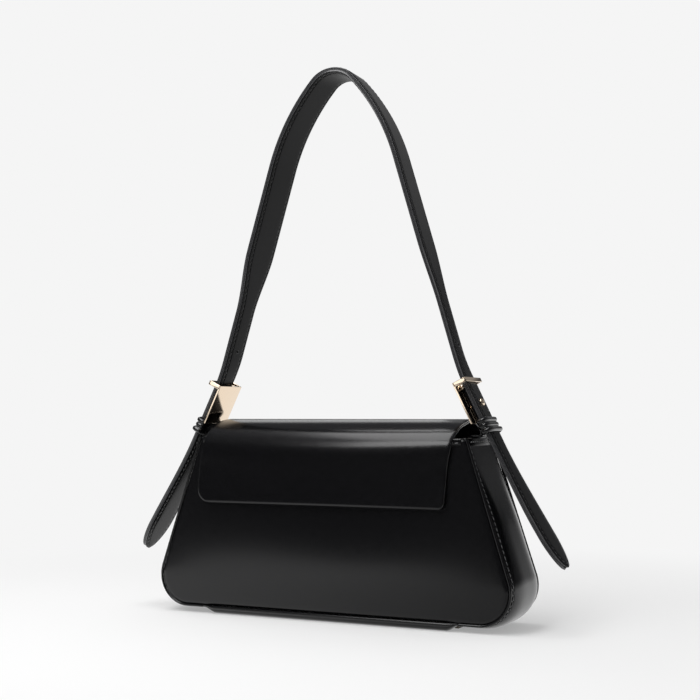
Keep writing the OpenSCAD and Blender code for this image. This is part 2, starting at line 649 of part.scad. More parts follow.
// Tail: the strap's free end, which widens to a round tip, with a round root at its bend
tail_p = uv(tail_u, strap_v);
tail_r = tail_l / ((tail_lean - plate_lean) * PI / 180);
tail_line = [for (i = [0:6]) let (a = plate_lean + (tail_lean - plate_lean) * i / 6)
    [tail_p.x + tail_r * (cos(plate_lean) - cos(a)), tail_p.y + tail_r * (sin(plate_lean) - sin(a)), a]];
tail_straight = [8, 6];
tail_widening = tail_l - tail_tip_l - tail_straight[0] - tail_straight[1];
function tail_half(s) =
    strap_end_w / 2 + (tail_w - strap_end_w) / 2 * smooth((s - tail_straight[0]) / tail_widening);
tail_rows = [for (i = [0:12]) (tail_l - tail_tip_l) * i / 12];
tail_side = concat([[strap_end_w / 2, -strap_t - 1]], [for (s = tail_rows) [tail_half(s), s]],
    [for (i = [1:7]) let (a = 90 * i / 8) [tail_w / 2 * pow(cos(a), 0.9), tail_l - tail_tip_l + tail_tip_l * sin(a)]],
    [[0, tail_l]]);
tail_mid_lean = (plate_lean + tail_lean) / 2;
root_l = 9;
module tail_layer(v0, v1) {
    side = sign(v0 + v1);
    low = min(abs(v0), abs(v1));
    module strip() {
        along_y(-body_w, body_w)
            polygon(concat(line_offset(tail_line, v1), reverse(line_offset(tail_line, v0))));
        along_y(-body_w, body_w) intersection() {
            translate(tail_p) circle(strap_t, $fn = 32);
            polygon([uv(tail_u, strap_v + side * root_l), uv(tail_u + root_l, strap_v + side * low),
                uv(tail_u - root_l, strap_v + side * low)]);
        }
    }
    intersection() {
        strip();
        translate([tail_p.x, -strap_front, tail_p.y]) rotate([0, -tail_mid_lean, 0]) rotate([0, 90, 0])
            rotate([0, 0, 90]) linear_extrude(2 * tail_w, center = true) rotate(180)
            polygon(concat(tail_side, flip_x(reverse(tail_side))));
    }
}
module right_tail() color(LEATHER) tail_layer(layer_gap / 2, strap_t);
module right_tail_lining() color(LEATHER) tail_layer(-strap_t, -layer_gap / 2);
module left_tail() left_of(true) right_tail();
module left_tail_lining() left_of(true) right_tail_lining();

front_panel();
back_panel();
left_gusset();
right_gusset();
base_panel();
left_front_piping();
right_front_piping();
left_back_piping();
right_back_piping();
front_lining();
back_lining();
body_lining();
slip_pocket();
base_board();
base_foam();
front_binding();
left_binding();
right_binding();
snap_socket();
snap_socket_washer();
left_tab_anchor();
right_tab_anchor();
flap_top();
flap_top_lining();
flap_front();
flap_front_lining();
snap_stud();
snap_stud_washer();
strap();
strap_lining();
left_tab();
right_tab();
left_buckle();
right_buckle();
left_pin();
right_pin();
left_stud();
right_stud();
left_keeper();
right_keeper();
left_tail();
left_tail_lining();
right_tail();
right_tail_lining();
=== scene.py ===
# %% [markdown]
# A baguette shoulder bag in smooth black leather.
# The solid model already fixes every size, so this lesson only dresses it. Each solid comes in as a
# Blender object in metres, and each new piece is made in millimetres and scaled once at the end,
# because a leather worker's sizes are easier to read that way.

# %% The frame
import bisect
import json
import math
import bmesh
import bpy
from mathutils import Matrix, Vector

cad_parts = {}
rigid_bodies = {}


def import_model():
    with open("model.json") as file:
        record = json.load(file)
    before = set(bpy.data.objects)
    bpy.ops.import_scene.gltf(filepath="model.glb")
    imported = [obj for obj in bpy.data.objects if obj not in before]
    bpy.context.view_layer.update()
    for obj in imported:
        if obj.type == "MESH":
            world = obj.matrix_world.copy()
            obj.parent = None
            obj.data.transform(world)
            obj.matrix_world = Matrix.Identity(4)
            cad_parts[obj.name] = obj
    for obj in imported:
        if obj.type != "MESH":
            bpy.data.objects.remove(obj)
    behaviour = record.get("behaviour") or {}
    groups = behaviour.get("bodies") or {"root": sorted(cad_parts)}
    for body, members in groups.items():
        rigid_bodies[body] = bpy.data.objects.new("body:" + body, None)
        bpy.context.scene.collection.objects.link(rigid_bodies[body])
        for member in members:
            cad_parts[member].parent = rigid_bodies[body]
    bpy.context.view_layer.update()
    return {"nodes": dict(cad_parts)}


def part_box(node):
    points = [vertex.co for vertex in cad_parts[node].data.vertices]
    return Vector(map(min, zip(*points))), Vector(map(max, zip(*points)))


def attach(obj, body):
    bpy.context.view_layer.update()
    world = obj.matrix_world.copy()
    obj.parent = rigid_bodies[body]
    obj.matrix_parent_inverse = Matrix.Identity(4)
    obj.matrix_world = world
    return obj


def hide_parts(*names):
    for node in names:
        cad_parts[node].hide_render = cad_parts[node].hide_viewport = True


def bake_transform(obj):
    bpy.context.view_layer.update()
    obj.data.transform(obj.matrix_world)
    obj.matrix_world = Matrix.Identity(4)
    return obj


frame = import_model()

MM = 0.001

# %% [markdown]
# The camera comes first, so that every later piece can be judged from the photograph's own place.
# It stands a little in front of the bag's right corner, almost level with the flap. A matrix built
# from three directions is the plainest way to aim it: no rotation order has to be guessed.

# %% Camera
CAMERA_PLACE = (434.4, -875.4, 148.7)
CAMERA_TURN = 26.09
CAMERA_TILT = 2.92
LENS = 66.97


def aim(turn, tilt):
    """The camera's own right, up and back directions, from its turn and tilt in degrees."""
    a, p = math.radians(turn), math.radians(tilt)
    right = Vector((math.cos(a), math.sin(a), 0))
    forward = Vector((-math.sin(a) * math.cos(p), math.cos(a) * math.cos(p), math.sin(p)))
    return right, right.cross(forward), -forward


camera = bpy.data.objects.new("camera", bpy.data.cameras.new("camera"))
bpy.context.scene.collection.objects.link(camera)
bpy.context.scene.camera = camera
camera.data.lens = LENS
camera.data.sensor_width = 36
placed = Matrix.Translation(Vector(CAMERA_PLACE) * MM)
camera.matrix_world = placed @ Matrix(aim(CAMERA_TURN, CAMERA_TILT)).transposed().to_4x4()
bpy.context.scene.view_settings.view_transform = "Standard"
print("camera", [round(c, 3) for c in camera.location], "lens", camera.data.lens)

# %% [markdown]
# The bag's body is a trapezoid with round lower corners. Its seam line is the outline that the
# panels, the gussets and the piping all follow, so it is worked out once, from the solids' own
# boxes, and asked for again by each piece.

# %% The seam line
panel_low, panel_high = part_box("front_panel")
SEAM_Z = panel_low.z / MM
HALF_W = panel_high.x / MM
RIM_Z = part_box("front_binding")[1].z / MM
BASE_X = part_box("base_panel")[1].x / MM
CORNER_R = 22
RIM_HALF_W = 107.5
DEPTH_BASE = 60
DEPTH_RIM = 53
PANEL_OUT = 0.9
BINDING_H = 4.5

corner = Vector((HALF_W - CORNER_R, SEAM_Z + CORNER_R))
rim = Vector((RIM_HALF_W, RIM_Z))
to_rim = rim - corner
SIDE_A = math.atan2(to_rim.y, to_rim.x) - math.acos(CORNER_R / to_rim.length)
side_out = Vector((math.cos(SIDE_A), math.sin(SIDE_A)))
side_down = Vector((math.sin(SIDE_A), -math.cos(SIDE_A)))
SIDE_L = (to_rim - side_out * CORNER_R).length
SIDE_Z = corner.y + CORNER_R * side_out.y
ARC_L = CORNER_R * (SIDE_A + math.pi / 2)
END_L = corner.x - BASE_X
SEAM_L = SIDE_L + ARC_L + END_L
SIDES = (("right", 1), ("left", -1))


def half_depth(z):
    """Half the depth between the front and back seams at height z."""
    return (DEPTH_BASE + (DEPTH_RIM - DEPTH_BASE) * (z - SEAM_Z) / (RIM_Z - SEAM_Z)) / 2


def half_width(z):
    """Half the width between the side seams at height z."""
    if z >= SIDE_Z:
        return RIM_HALF_W + (RIM_Z - z) * math.tan(SIDE_A)
    return corner.x + math.sqrt(max(0, CORNER_R ** 2 - (z - corner.y) ** 2))


def seam(s, out=0):
    """The point (x, z) of the right seam line s mm down from the rim, and its outward direction."""
    if s < SIDE_L:
        return rim + side_down * s + side_out * out, side_out
    if s < SIDE_L + ARC_L:
        a = SIDE_A - (s - SIDE_L) / CORNER_R
        normal = Vector((math.cos(a), math.sin(a)))
        return corner + normal * (CORNER_R + out), normal
    x = corner.x - (s - SIDE_L - ARC_L)
    return Vector((x, SEAM_Z - out)), Vector((0, -1))


print("seam line", round(SEAM_L, 1), "mm, side leans", round(math.degrees(SIDE_A), 1), "degrees")

# %% [markdown]
# Every leather piece starts as a flat grid, as a hide is cut flat, and each point of the grid is
# then put in its place by a short rule. A grid keeps even squares, which bend and shade smoothly.
# The distance from each point to the sheet's cut edge is kept as an attribute, because a stitched
# seam presses the leather down at a fixed distance from that edge, and the material needs it.

# %% Helpers for sheets
NO_EDGE = 50


def grid(across, along, place, edge=None):
    """A flat grid whose points go where place(u, v) says, u and v from 0 to 1."""
    bm = bmesh.new()
    bmesh.ops.create_grid(bm, x_segments=across, y_segments=along, size=0.5)
    rim_layer = bm.verts.layers.float.new("edge")
    for v in bm.verts:
        u, t = v.co.x + 0.5, v.co.y + 0.5
        v.co = place(u, t)
        v[rim_layer] = edge(u, t) if edge else NO_EDGE
    return bm


def mirror_x(bm):
    """Turns a right-hand piece into a left-hand one."""
    bmesh.ops.scale(bm, vec=(-1, 1, 1), verts=bm.verts)
    bmesh.ops.reverse_faces(bm, faces=bm.faces)


def mirror_y(bm):
    """Turns a front piece into a back one."""
    bmesh.ops.scale(bm, vec=(1, -1, 1), verts=bm.verts)
    bmesh.ops.reverse_faces(bm, faces=bm.faces)


def piece(name, bm, material, body=None, stands_for=(), slot=None, thick=0, round_edge=0, rim=None):
    """Makes an object of a bmesh drawn in mm, gives it its thickness and edges, and hangs it on a body."""
    bmesh.ops.scale(bm, vec=(MM, MM, MM), verts=bm.verts)
    mesh = bpy.data.meshes.new(name)
    bm.to_mesh(mesh)
    bm.free()
    mesh.shade_smooth()
    obj = bpy.data.objects.new(name, mesh)
    bpy.context.scene.collection.objects.link(obj)
    mesh.materials.append(material)
    if thick:
        wall = obj.modifiers.new("thickness", "SOLIDIFY")
        wall.thickness = thick * MM
        wall.offset = -1
        wall.use_even_offset = True
        if rim:
            mesh.materials.append(rim)
            wall.material_offset_rim = 1
    if round_edge:
        bevel = obj.modifiers.new("edge", "BEVEL")
        bevel.width = round_edge * MM
        bevel.segments = 2
        bevel.limit_method = "ANGLE"
        bevel.angle_limit = math.radians(50)
        bevel.harden_normals = False
    if body:
        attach(obj, body)
    if stands_for:
        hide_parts(*stands_for)
    return obj


def soft(t):
    """Rises smoothly from 0 to 1 as t does."""
    t = min(1, max(0, t))
    return t * t * (3 - 2 * t)


def crowded(u, power):
    """Goes from -1 to 1 across a sheet as u does from 0 to 1, with its columns closer at the edges."""
    across = 2 * u - 1
    return math.copysign(1 - (1 - abs(across)) ** power, across)


print("helpers ready")

# %% [markdown]
# The finishes are built of shader nodes. A node is made, given its values and fed by other nodes so
# often that a few helpers keep each finish short enough to read as a recipe. An effect that many
# finishes share, such as uneven tone, is a helper too, with the amounts left to each finish.

# %% Shader helpers
def feed(tree, socket, value):
    """Gives an input its value, or links it to the socket that feeds it."""
    if isinstance(value, bpy.types.NodeSocket):
        tree.links.new(value, socket)
    elif value is not None:
        socket.default_value = value


def node(tree, kind, **values):
    """A node with its settings. A name that starts with in_ is one of its inputs."""
    made = tree.nodes.new(kind)
    for key, value in values.items():
        if key.startswith("in_"):
            feed(tree, made.inputs[key[3:].replace("_", " ")], value)
        else:
            setattr(made, key, value)
    return made


def math_node(tree, operation, *terms):
    """A sum on sockets or numbers, taken from the left where there are more than two."""
    if len(terms) > 2:
        terms = (math_node(tree, operation, *terms[:-1]), terms[-1])
    made = node(tree, "ShaderNodeMath", operation=operation)
    for socket, value in zip(made.inputs, terms):
        feed(tree, socket, value)
    return made.outputs[0]


def finish(name, **values):
    """A new material with values on its shader: the material, its tree, the shader and coordinates."""
    made = bpy.data.materials.new(name)
    made.use_nodes = True
    tree = made.node_tree
    shader = tree.nodes["Principled BSDF"]
    for key, value in values.items():
        shader.inputs[key.replace("_", " ")].default_value = value
    return made, tree, shader, node(tree, "ShaderNodeTexCoord").outputs["Object"]


def uneven(tree, shader, mask, color, tones, gloss=None):
    """Lets a surface wander with a mask, between two tones of its colour and two roughnesses."""
    dark, light = ((*[c * tone for c in color], 1) for tone in tones)
    tone = node(tree, "ShaderNodeMix", data_type="RGBA", in_Factor=mask, in_A=dark, in_B=light)
    feed(tree, shader.inputs["Base Color"], tone.outputs["Result"])
    if gloss:
        rough = node(tree, "ShaderNodeMapRange", in_Value=mask, in_To_Min=gloss[0], in_To_Max=gloss[1])
        feed(tree, shader.inputs["Roughness"], rough.outputs["Result"])


def relief(tree, height, strength, distance, under=None):
    """The normal of a surface with a height on it, over the relief that is there already."""
    made = node(tree, "ShaderNodeBump", in_Strength=strength, in_Distance=distance, in_Height=height,
                in_Normal=under)
    return made.outputs["Normal"]


print("shader helpers ready")

# %% [markdown]
# Smooth calf leather is a dark, slightly uneven colour under a thin polished coat. Its grain is so
# fine that it shows mainly as a faint break-up of the reflections. Two effects are kept as shader
# groups with named inputs: the grain and soft waves of the hide, and the groove that a seam presses
# along an edge. Each leather then only sets its own values.

# %% Shader groups
def group(name, inputs, outputs):
    """An empty shader group with its sockets, and its input and output nodes."""
    tree = bpy.data.node_groups.new(name, "ShaderNodeTree")
    for label, kind, value in inputs:
        socket = tree.interface.new_socket(label, in_out="INPUT", socket_type=kind)
        if value is not None:
            socket.default_value = value
    for label in outputs:
        tree.interface.new_socket(label, in_out="OUTPUT", socket_type="NodeSocketFloat")
    return tree, tree.nodes.new("NodeGroupInput").outputs, tree.nodes.new("NodeGroupOutput").inputs


def hide_group():
    """Fine pores, a creased grain and slow waves, as one height, with a mask for uneven gloss."""
    tree, take, give = group(
        "hide grain",
        [("Coordinates", "NodeSocketVector", None), ("Pores", "NodeSocketFloat", 0.2),
         ("Creases", "NodeSocketFloat", 0.2), ("Waves", "NodeSocketFloat", 0.5)],
        ["Height", "Mask"])
    where = take["Coordinates"]
    pores = node(tree, "ShaderNodeTexVoronoi", in_Vector=where, in_Scale=1500).outputs["Distance"]
    creases = node(tree, "ShaderNodeTexNoise", in_Vector=where, in_Scale=420, in_Detail=4,
                   in_Roughness=0.6).outputs[0]
    waves = node(tree, "ShaderNodeTexNoise", in_Vector=where, in_Scale=16, in_Detail=2,
                 in_Roughness=0.4).outputs[0]
    parts = [math_node(tree, "MULTIPLY", texture, take[label])
             for texture, label in ((pores, "Pores"), (creases, "Creases"), (waves, "Waves"))]
    feed(tree, give["Height"], math_node(tree, "ADD", *parts))
    feed(tree, give["Mask"], creases)
    return tree


def groove_group():
    """A soft valley at a set distance from the sheet's edge, where thread pulls the leather down."""
    tree, take, give = group(
        "seam groove",
        [("Edge", "NodeSocketFloat", NO_EDGE), ("Distance", "NodeSocketFloat", 3),
         ("Width", "NodeSocketFloat", 1.2)],
        ["Height"])
    away = math_node(tree, "SUBTRACT", take["Edge"], take["Distance"])
    ratio = math_node(tree, "DIVIDE", away, take["Width"])
    squared = math_node(tree, "MULTIPLY", ratio, ratio)
    valley = math_node(tree, "EXPONENT", math_node(tree, "MULTIPLY", squared, -1))
    feed(tree, give["Height"], math_node(tree, "MULTIPLY", valley, -1))
    return tree


HIDE = hide_group()
GROOVE = groove_group()
print("groups", HIDE.name, "and", GROOVE.name)

# %% [markdown]
# The bag uses one hide in several states. The body is the glossiest, the strap's outer face is a
# little duller, and its inner face is hardly polished. Cut edges are sealed with paint, which is
# paler and catches the light as a thin line. The flap's edge paint is much paler still: a painted
# highlight that draws the light line along the flap's edge.

# %% Leathers
STITCH_INSET = 3
GROOVE_W = 0.8
GRAIN_STRENGTH, GRAIN_DEPTH = 0.35, 0.0005
BLACK = (0.0025, 0.0025, 0.003)


def leather(name, color, gloss, coat, shine=0.45, pores=0.04, creases=0.05, waves=0.5, groove=0):
    """A polished leather. Gloss is the base roughness, and coat the weight of the polish on it."""
    made, tree, shader, where = finish(name, Coat_Weight=coat, Coat_Roughness=0.12, Coat_IOR=1.45,
                                       Specular_IOR_Level=shine)
    hide = node(tree, "ShaderNodeGroup", node_tree=HIDE, in_Coordinates=where, in_Pores=pores,
                in_Creases=creases, in_Waves=waves)
    uneven(tree, shader, hide.outputs["Mask"], color, (0.75, 1.35), (gloss - 0.05, gloss + 0.07))
    normal = relief(tree, hide.outputs["Height"], GRAIN_STRENGTH, GRAIN_DEPTH)
    if groove:
        edge = node(tree, "ShaderNodeAttribute", attribute_name="edge").outputs["Fac"]
        valley = node(tree, "ShaderNodeGroup", node_tree=GROOVE, in_Edge=edge, in_Distance=STITCH_INSET,
                      in_Width=GROOVE_W)
        normal = relief(tree, valley.outputs["Height"], groove, 0.0006, normal)
    feed(tree, shader.inputs["Normal"], normal)
    return made


CALF = leather("polished calf", BLACK, gloss=0.19, coat=0.1)
CALF_SEWN = leather("polished calf, sewn", BLACK, gloss=0.2, coat=0.1, groove=0.8)
STRAP_CALF = leather("strap calf", BLACK, gloss=0.24, coat=0.05, shine=0.22, waves=0.3, groove=0.9)
STRAP_BACK = leather("strap back", (0.003, 0.003, 0.0035), gloss=0.36, coat=0, shine=0.14, waves=0.3,
                     groove=0.9)
KEEPER_CALF = leather("keeper calf", (0.0035, 0.0035, 0.004), gloss=0.16, coat=0.5, shine=0.5)
LINING_CALF = leather("lining split", (0.02, 0.02, 0.021), gloss=0.5, coat=0.1, pores=0.5, creases=0.7)
EDGE_PAINT = leather("painted edge", (0.035, 0.035, 0.037), gloss=0.3, coat=0.6, shine=0.5, pores=0.05,
                     creases=0.2, waves=0)
# Partly real edge paint, partly painted highlight: far paler than the other edges, so the flap's edge shows
# as a light line.
FLAP_PAINT_HIGHLIGHT = leather("painted flap edge", (0.11, 0.11, 0.115), gloss=0.32, coat=0.6, shine=0.5, pores=0.05,
                     creases=0.2, waves=0)
# Painted shade: a near-black finish for the discs that stand for the shade inside the punched holes.
SHADE = leather("punched hole", (0.001, 0.001, 0.001), gloss=0.8, coat=0, shine=0.03)
print("leathers ready")

# %% [markdown]
# The metal is brass under a thin pale gold plate. Polished metal has almost no look of its own and
# lives from what it mirrors, so the roughness stays low, and faint long scratches keep
# the mirror from looking like liquid. Cloth, thread, board and felt are all crossed threads, so one
# weave serves them at different sizes.

# %% Metals, cloth and board
def metal(name, color, rough, scratch):
    """A plated metal with faint brushed scratches."""
    made, tree, shader, where = finish(name, Metallic=1)
    long = node(tree, "ShaderNodeMapping", in_Vector=where, in_Scale=(300, 2500, 300)).outputs["Vector"]
    lines = node(tree, "ShaderNodeTexNoise", in_Vector=long, in_Scale=1, in_Detail=3).outputs[0]
    uneven(tree, shader, lines, color, (1, 0.93), (rough * 0.7, rough * 1.4))
    feed(tree, shader.inputs["Normal"], relief(tree, lines, scratch, 0.0001))
    return made


def woven(name, color, pitch, rough):
    """A plain weave: two sets of rounded threads that cross, on the object's own coordinates."""
    made, tree, shader, where = finish(name, Roughness=rough, Sheen_Weight=0.3)
    scale = 0.314 / (pitch * MM) / 2
    waves = [node(tree, "ShaderNodeTexWave", bands_direction=axis, in_Vector=where, in_Scale=scale)
             for axis in ("X", "Z")]
    threads = math_node(tree, "MAXIMUM", *[wave.outputs["Fac"] for wave in waves])
    uneven(tree, shader, threads, color, (0.5, 1))
    feed(tree, shader.inputs["Normal"], relief(tree, threads, 0.5, 0.0003))
    return made


GOLD = metal("pale gold plate", (0.96, 0.79, 0.61), rough=0.09, scratch=0.05)
STEEL = metal("nickel steel", (0.62, 0.61, 0.59), rough=0.25, scratch=0.2)
CLOTH = woven("lining cloth", (0.03, 0.03, 0.033), pitch=0.5, rough=0.85)
THREAD = woven("waxed thread", (0.1, 0.1, 0.105), pitch=0.4, rough=0.4)
DARK_THREAD = woven("waxed thread, strap", (0.018, 0.018, 0.02), pitch=0.4, rough=0.45)
BOARD = woven("fibreboard", (0.25, 0.22, 0.18), pitch=1.5, rough=0.9)
FELT = woven("felt padding", (0.55, 0.55, 0.53), pitch=0.8, rough=0.95)
print("metals and cloths ready")

# %% [markdown]
# The front panel is one smooth sheet that swells a little, most just below its middle, and rolls in
# at its seams, where the thread holds it against the piping. The roll is what gives a sewn bag its
# dark seam line, so the sheet turns back over its last few millimetres.

# %% Front and back panels
PANEL_T = 0.9
SWELL = 5
SWELL_TOP = RIM_Z - BINDING_H - 1.5
ROLL = 3.2
HOLLOW = 0.25
EDGE_Z = panel_high.z / MM


def swell(u, z):
    """How far the panel stands out, u from -1 to 1 across it."""
    t = min(1, max(0, (z - SEAM_Z) / (SWELL_TOP - SEAM_Z)))
    return SWELL * (1 - abs(u) ** 3.6) * math.sin(math.pi * t ** 0.62)


def seam_distance(x, z):
    """How far a point of the panel lies inside the seam line."""
    if z < corner.y and abs(x) > corner.x:
        return CORNER_R - (Vector((abs(x), z)) - corner).length
    side = (rim - Vector((abs(x), z))).dot(side_out)
    return min(side, z - SEAM_Z)


def panel_row(t):
    """Heights of the panel's rows: close together round the corners, even above."""
    bend = 0.3
    if t < bend:
        return corner.y + CORNER_R * math.sin(-math.pi / 2 + (SIDE_A + math.pi / 2) * t / bend)
    return SIDE_Z + (EDGE_Z - SIDE_Z) * (t - bend) / (1 - bend)


def panel_point(u, t):
    """Where a point of the front panel lies."""
    z = panel_row(t)
    across = crowded(u, 1.35)
    x = across * (half_width(z) - 0.15)
    inside = max(0, seam_distance(x, z))
    roll = max(0, 1 - inside / ROLL) ** 2
    hollow = HOLLOW * math.sin(x / 31 + 0.6) * math.sin(z / 27 + 0.9) * min(1, inside / 12)
    depth = half_depth(z) + PANEL_OUT * (1 - roll) - 0.1 * roll + swell(across, z) + hollow
    return Vector((x, -depth, z))


for cad, flip in (("front_panel", False), ("back_panel", True)):
    sheet = grid(150, 90, panel_point)
    if flip:
        mirror_y(sheet)
    piece(cad + "_leather", sheet, CALF, "bag", [cad], "leather", thick=PANEL_T)
print("panels", round(2 * HALF_W), "mm wide")

# %% [markdown]
# The gussets are the strips down the sides. They are pulled in at both seams and stand out a little
# between them, more towards the base, so they are dark in front and turn to the light behind.

# %% Gussets
GUSSET_OUT = 0.6
GUSSET_PUFF = 4.6
GUSSET_ROUND = 3.6
GUSSET_CROWD = 1.3
GUSSET_ROLL = 0.7
SEAM_ALLOW = 0.35


def gusset_puff(across, s):
    """How far the gusset stands out, across from -1 to 1 over its width, s mm down the seam."""
    return GUSSET_PUFF * (1 - abs(across) ** GUSSET_ROUND) * soft((s - 6) / 60)


def gusset_point(u, t):
    """Where a point of the right gusset lies: u across the depth, t down the seam."""
    s = 0.5 + t * (SEAM_L - 0.5)
    base, normal = seam(s)
    half = half_depth(base.y) - SEAM_ALLOW
    across = crowded(u, GUSSET_CROWD)
    inside = half * (1 - abs(across))
    roll = max(0, 1 - inside / 2.4) ** 2
    out = GUSSET_OUT - GUSSET_ROLL * roll + gusset_puff(across, s)
    return Vector((base.x + normal.x * out, across * half, base.y + normal.y * out))


def gusset_edge(u, t):
    """Distance from the front or back seam."""
    return 28 * (1 - abs(crowded(u, GUSSET_CROWD)))


for side, sign in SIDES:
    sheet = grid(48, 120, gusset_point, gusset_edge)
    bmesh.ops.reverse_faces(sheet, faces=sheet.faces)
    if sign < 0:
        mirror_x(sheet)
    piece(side + "_gusset_leather", sheet, CALF_SEWN, "bag", [side + "_gusset"], "leather", thick=1.0)
print("gussets", round(SEAM_L), "mm long")

# %% [markdown]
# Piping is a cord in a strip of leather, trapped in the seam. A small circle is carried along the
# seam line as a bevelled curve, which is then made a mesh. Real piping never lies dead straight, so
# its radius breathes by a few hundredths of a millimetre.

# %% Piping
PIPING_R = 1.0
PIPING_OUT = 1.1
PIPING_STEPS = 109


def tube(name, points, radius):
    """A round cord through a list of points, closed at both ends."""
    curve = bpy.data.curves.new(name, "CURVE")
    curve.dimensions = "3D"
    curve.bevel_depth = radius * MM
    curve.bevel_resolution = 2
    curve.use_fill_caps = True
    line = curve.splines.new("POLY")
    line.points.add(len(points) - 1)
    for i, p in enumerate(points):
        line.points[i].co = (*[c * MM for c in p], 1)
        line.points[i].radius = 1 + 0.03 * math.sin(i * 1.7)
    holder = bpy.data.objects.new(name, curve)
    bpy.context.scene.collection.objects.link(holder)
    bpy.context.view_layer.update()
    mesh = bpy.data.meshes.new_from_object(holder.evaluated_get(bpy.context.evaluated_depsgraph_get()))
    bpy.data.objects.remove(holder)
    bm = bmesh.new()
    bm.from_mesh(mesh)
    bpy.data.meshes.remove(mesh)
    bmesh.ops.scale(bm, vec=(1 / MM, 1 / MM, 1 / MM), verts=bm.verts)
    return bm


def piping_line(out):
    """Points of the right piping, down from the rim and round to the base. Out is -1 in front."""
    points = []
    for i in range(PIPING_STEPS + 1):
        p, _ = seam(i / PIPING_STEPS * SEAM_L, PIPING_OUT)
        points.append(Vector((p.x, out * half_depth(p.y), p.y)))
    return points


for where, out in (("front", -1), ("back", 1)):
    for side, sign in SIDES:
        cord = tube("piping", piping_line(out), PIPING_R)
        if sign < 0:
            mirror_x(cord)
        piece(f"{side}_{where}_piping_cord", cord, CALF, "bag", [f"{side}_{where}_piping"], "leather")
print("four pipings of", 2 * PIPING_R, "mm")

# %% [markdown]
# The base panel is folded up along the long seams into a lip that stands out below the piping. Its
# section is swept along the bag, and the lip thins to nothing towards its ends.

# %% Base panel
LIP_H = 2.8
LIP_OUT = 1.4
LIP_DROP = 0.3
UNDER_R = (5.2, 3.3)
UNDER_IN = 5.4
END_TAPER = 11
TIP_H = 2


def base_section(t, fullness):
    """The outer face of the base's section, from the front seam under the bag to the back seam."""
    half = DEPTH_BASE / 2 + PANEL_OUT
    if t > 0.5:
        p = base_section(1 - t, fullness)
        return Vector((-p.x, p.y))
    k = t * 2
    if k < 0.25:
        a = math.pi * (0.5 + k / 0.25)
        lip = Vector((-half - LIP_OUT * fullness + LIP_H / 2, SEAM_Z - LIP_DROP - LIP_H / 2))
        return lip + Vector((math.cos(a) * LIP_H / 2, math.sin(a) * LIP_H / 2))
    if k < 0.6:
        a = math.pi + math.pi / 2 * (k - 0.25) / 0.35
        return Vector((-half + UNDER_IN + math.cos(a) * UNDER_R[0], UNDER_R[1] * (1 + math.sin(a))))
    return Vector(((-half + UNDER_IN) * (1 - k) / 0.4, 0))


def base_point(u, t):
    """Where a point of the base panel lies: u along the bag, t round the section."""
    x = (2 * u - 1) * BASE_X
    fullness = soft((BASE_X - abs(x)) / END_TAPER)
    p = base_section(t, fullness)
    lift = (1 - fullness) * (1 - p.y / SEAM_Z) * (SEAM_Z - TIP_H)
    return Vector((x, p.x * (1 - 0.012 * (1 - fullness)), p.y + lift))


sheet = grid(120, 96, base_point)
bmesh.ops.reverse_faces(sheet, faces=sheet.faces)
piece("base_leather", sheet, CALF, "bag", ["base_panel"], "leather", thick=0.8, round_edge=0.25)
print("base", round(2 * BASE_X), "mm long")

# %% [markdown]
# Narrow strips of leather are folded over the three raw edges of the mouth. A folded strip is a
# rounded box that is open below, so it starts as a cube, loses its lower face and gets its wall
# from Solidify.

# %% Bindings
def binding(name, stands_for, low, high, lean=0):
    """A strip folded over an edge, between two corners, leaning with the side it sits on."""
    bm = bmesh.new()
    bmesh.ops.create_cube(bm, size=1)
    size = high - low
    bmesh.ops.scale(bm, vec=size, verts=bm.verts)
    bmesh.ops.translate(bm, vec=(low + high) / 2, verts=bm.verts)
    bottom = [f for f in bm.faces if f.normal.z < -0.9]
    bmesh.ops.delete(bm, geom=bottom, context="FACES")
    top = [e for e in bm.edges if all(v.co.z > high.z - 0.01 for v in e.verts)]
    bmesh.ops.bevel(bm, geom=top, offset=0.9, segments=4, profile=0.5, affect="EDGES", material=-1)
    for v in bm.verts:
        v.co.x += (high.z - v.co.z) * lean
    return piece(name, bm, CALF, "bag", [stands_for], "binding", thick=0.6, round_edge=0.15)


low, high = [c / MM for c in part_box("front_binding")]
binding("front_binding_strip", "front_binding", low, high)
for side, sign in SIDES:
    low, high = [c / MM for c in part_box(side + "_binding")]
    drop = Vector(((high.z - low.z) * math.tan(SIDE_A), 0, 0))
    if sign > 0:
        high = high - drop
    else:
        low = low + drop
    binding(side + "_binding_strip", side + "_binding", low, high, sign * math.tan(SIDE_A))
print("bindings", BINDING_H, "mm high")

# %% [markdown]
# The flap leaves the back rim, arches over the mouth and hangs down the front. Seen from the side,
# its outer face is two smooth curves that meet at the fold. Each is a Bezier curve, because its two
# handles say directly how the leather leaves one place and arrives at the next.

# %% The flap's line
FLAP_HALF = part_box("flap_top")[1].x / MM
FLAP_EDGE_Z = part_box("flap_front")[0].z / MM + 0.1
ROOT = Vector((half_depth(RIM_Z) + PANEL_OUT + 0.05, RIM_Z - 0.9))
REAR = Vector((27.75, 133.97))
FOLD = Vector((-20, RIM_Z + 9.2))
OVER = [REAR, REAR + Vector((-3.8, 16.56)), FOLD + Vector((12, 6)), FOLD]
HANG = [FOLD, FOLD + Vector((-20, -10)), Vector((-33.5, FLAP_EDGE_Z + 37.5)),
        Vector((-38.5, FLAP_EDGE_Z))]
ROOT_STEPS, OVER_STEPS, HANG_STEPS = 4, 40, 60
CREST = 0.55


def bezier(p, t):
    """A point of a cubic curve and its direction."""
    a, b, c, d = p
    q = 1 - t
    point = a * q ** 3 + b * 3 * q * q * t + c * 3 * q * t * t + d * t ** 3
    heading = (b - a) * q * q + (c - b) * 2 * q * t + (d - c) * t * t
    return point, heading.normalized()


def flap_line():
    """The flap's outer face as (y, z) points and headings, from the back rim to the lower edge."""
    rising = (REAR - ROOT).normalized()
    line = [(ROOT.lerp(REAR, i / ROOT_STEPS), rising) for i in range(ROOT_STEPS)]
    line += [bezier(OVER, i / OVER_STEPS) for i in range(OVER_STEPS)]
    return line + [bezier(HANG, i / HANG_STEPS) for i in range(HANG_STEPS + 1)]


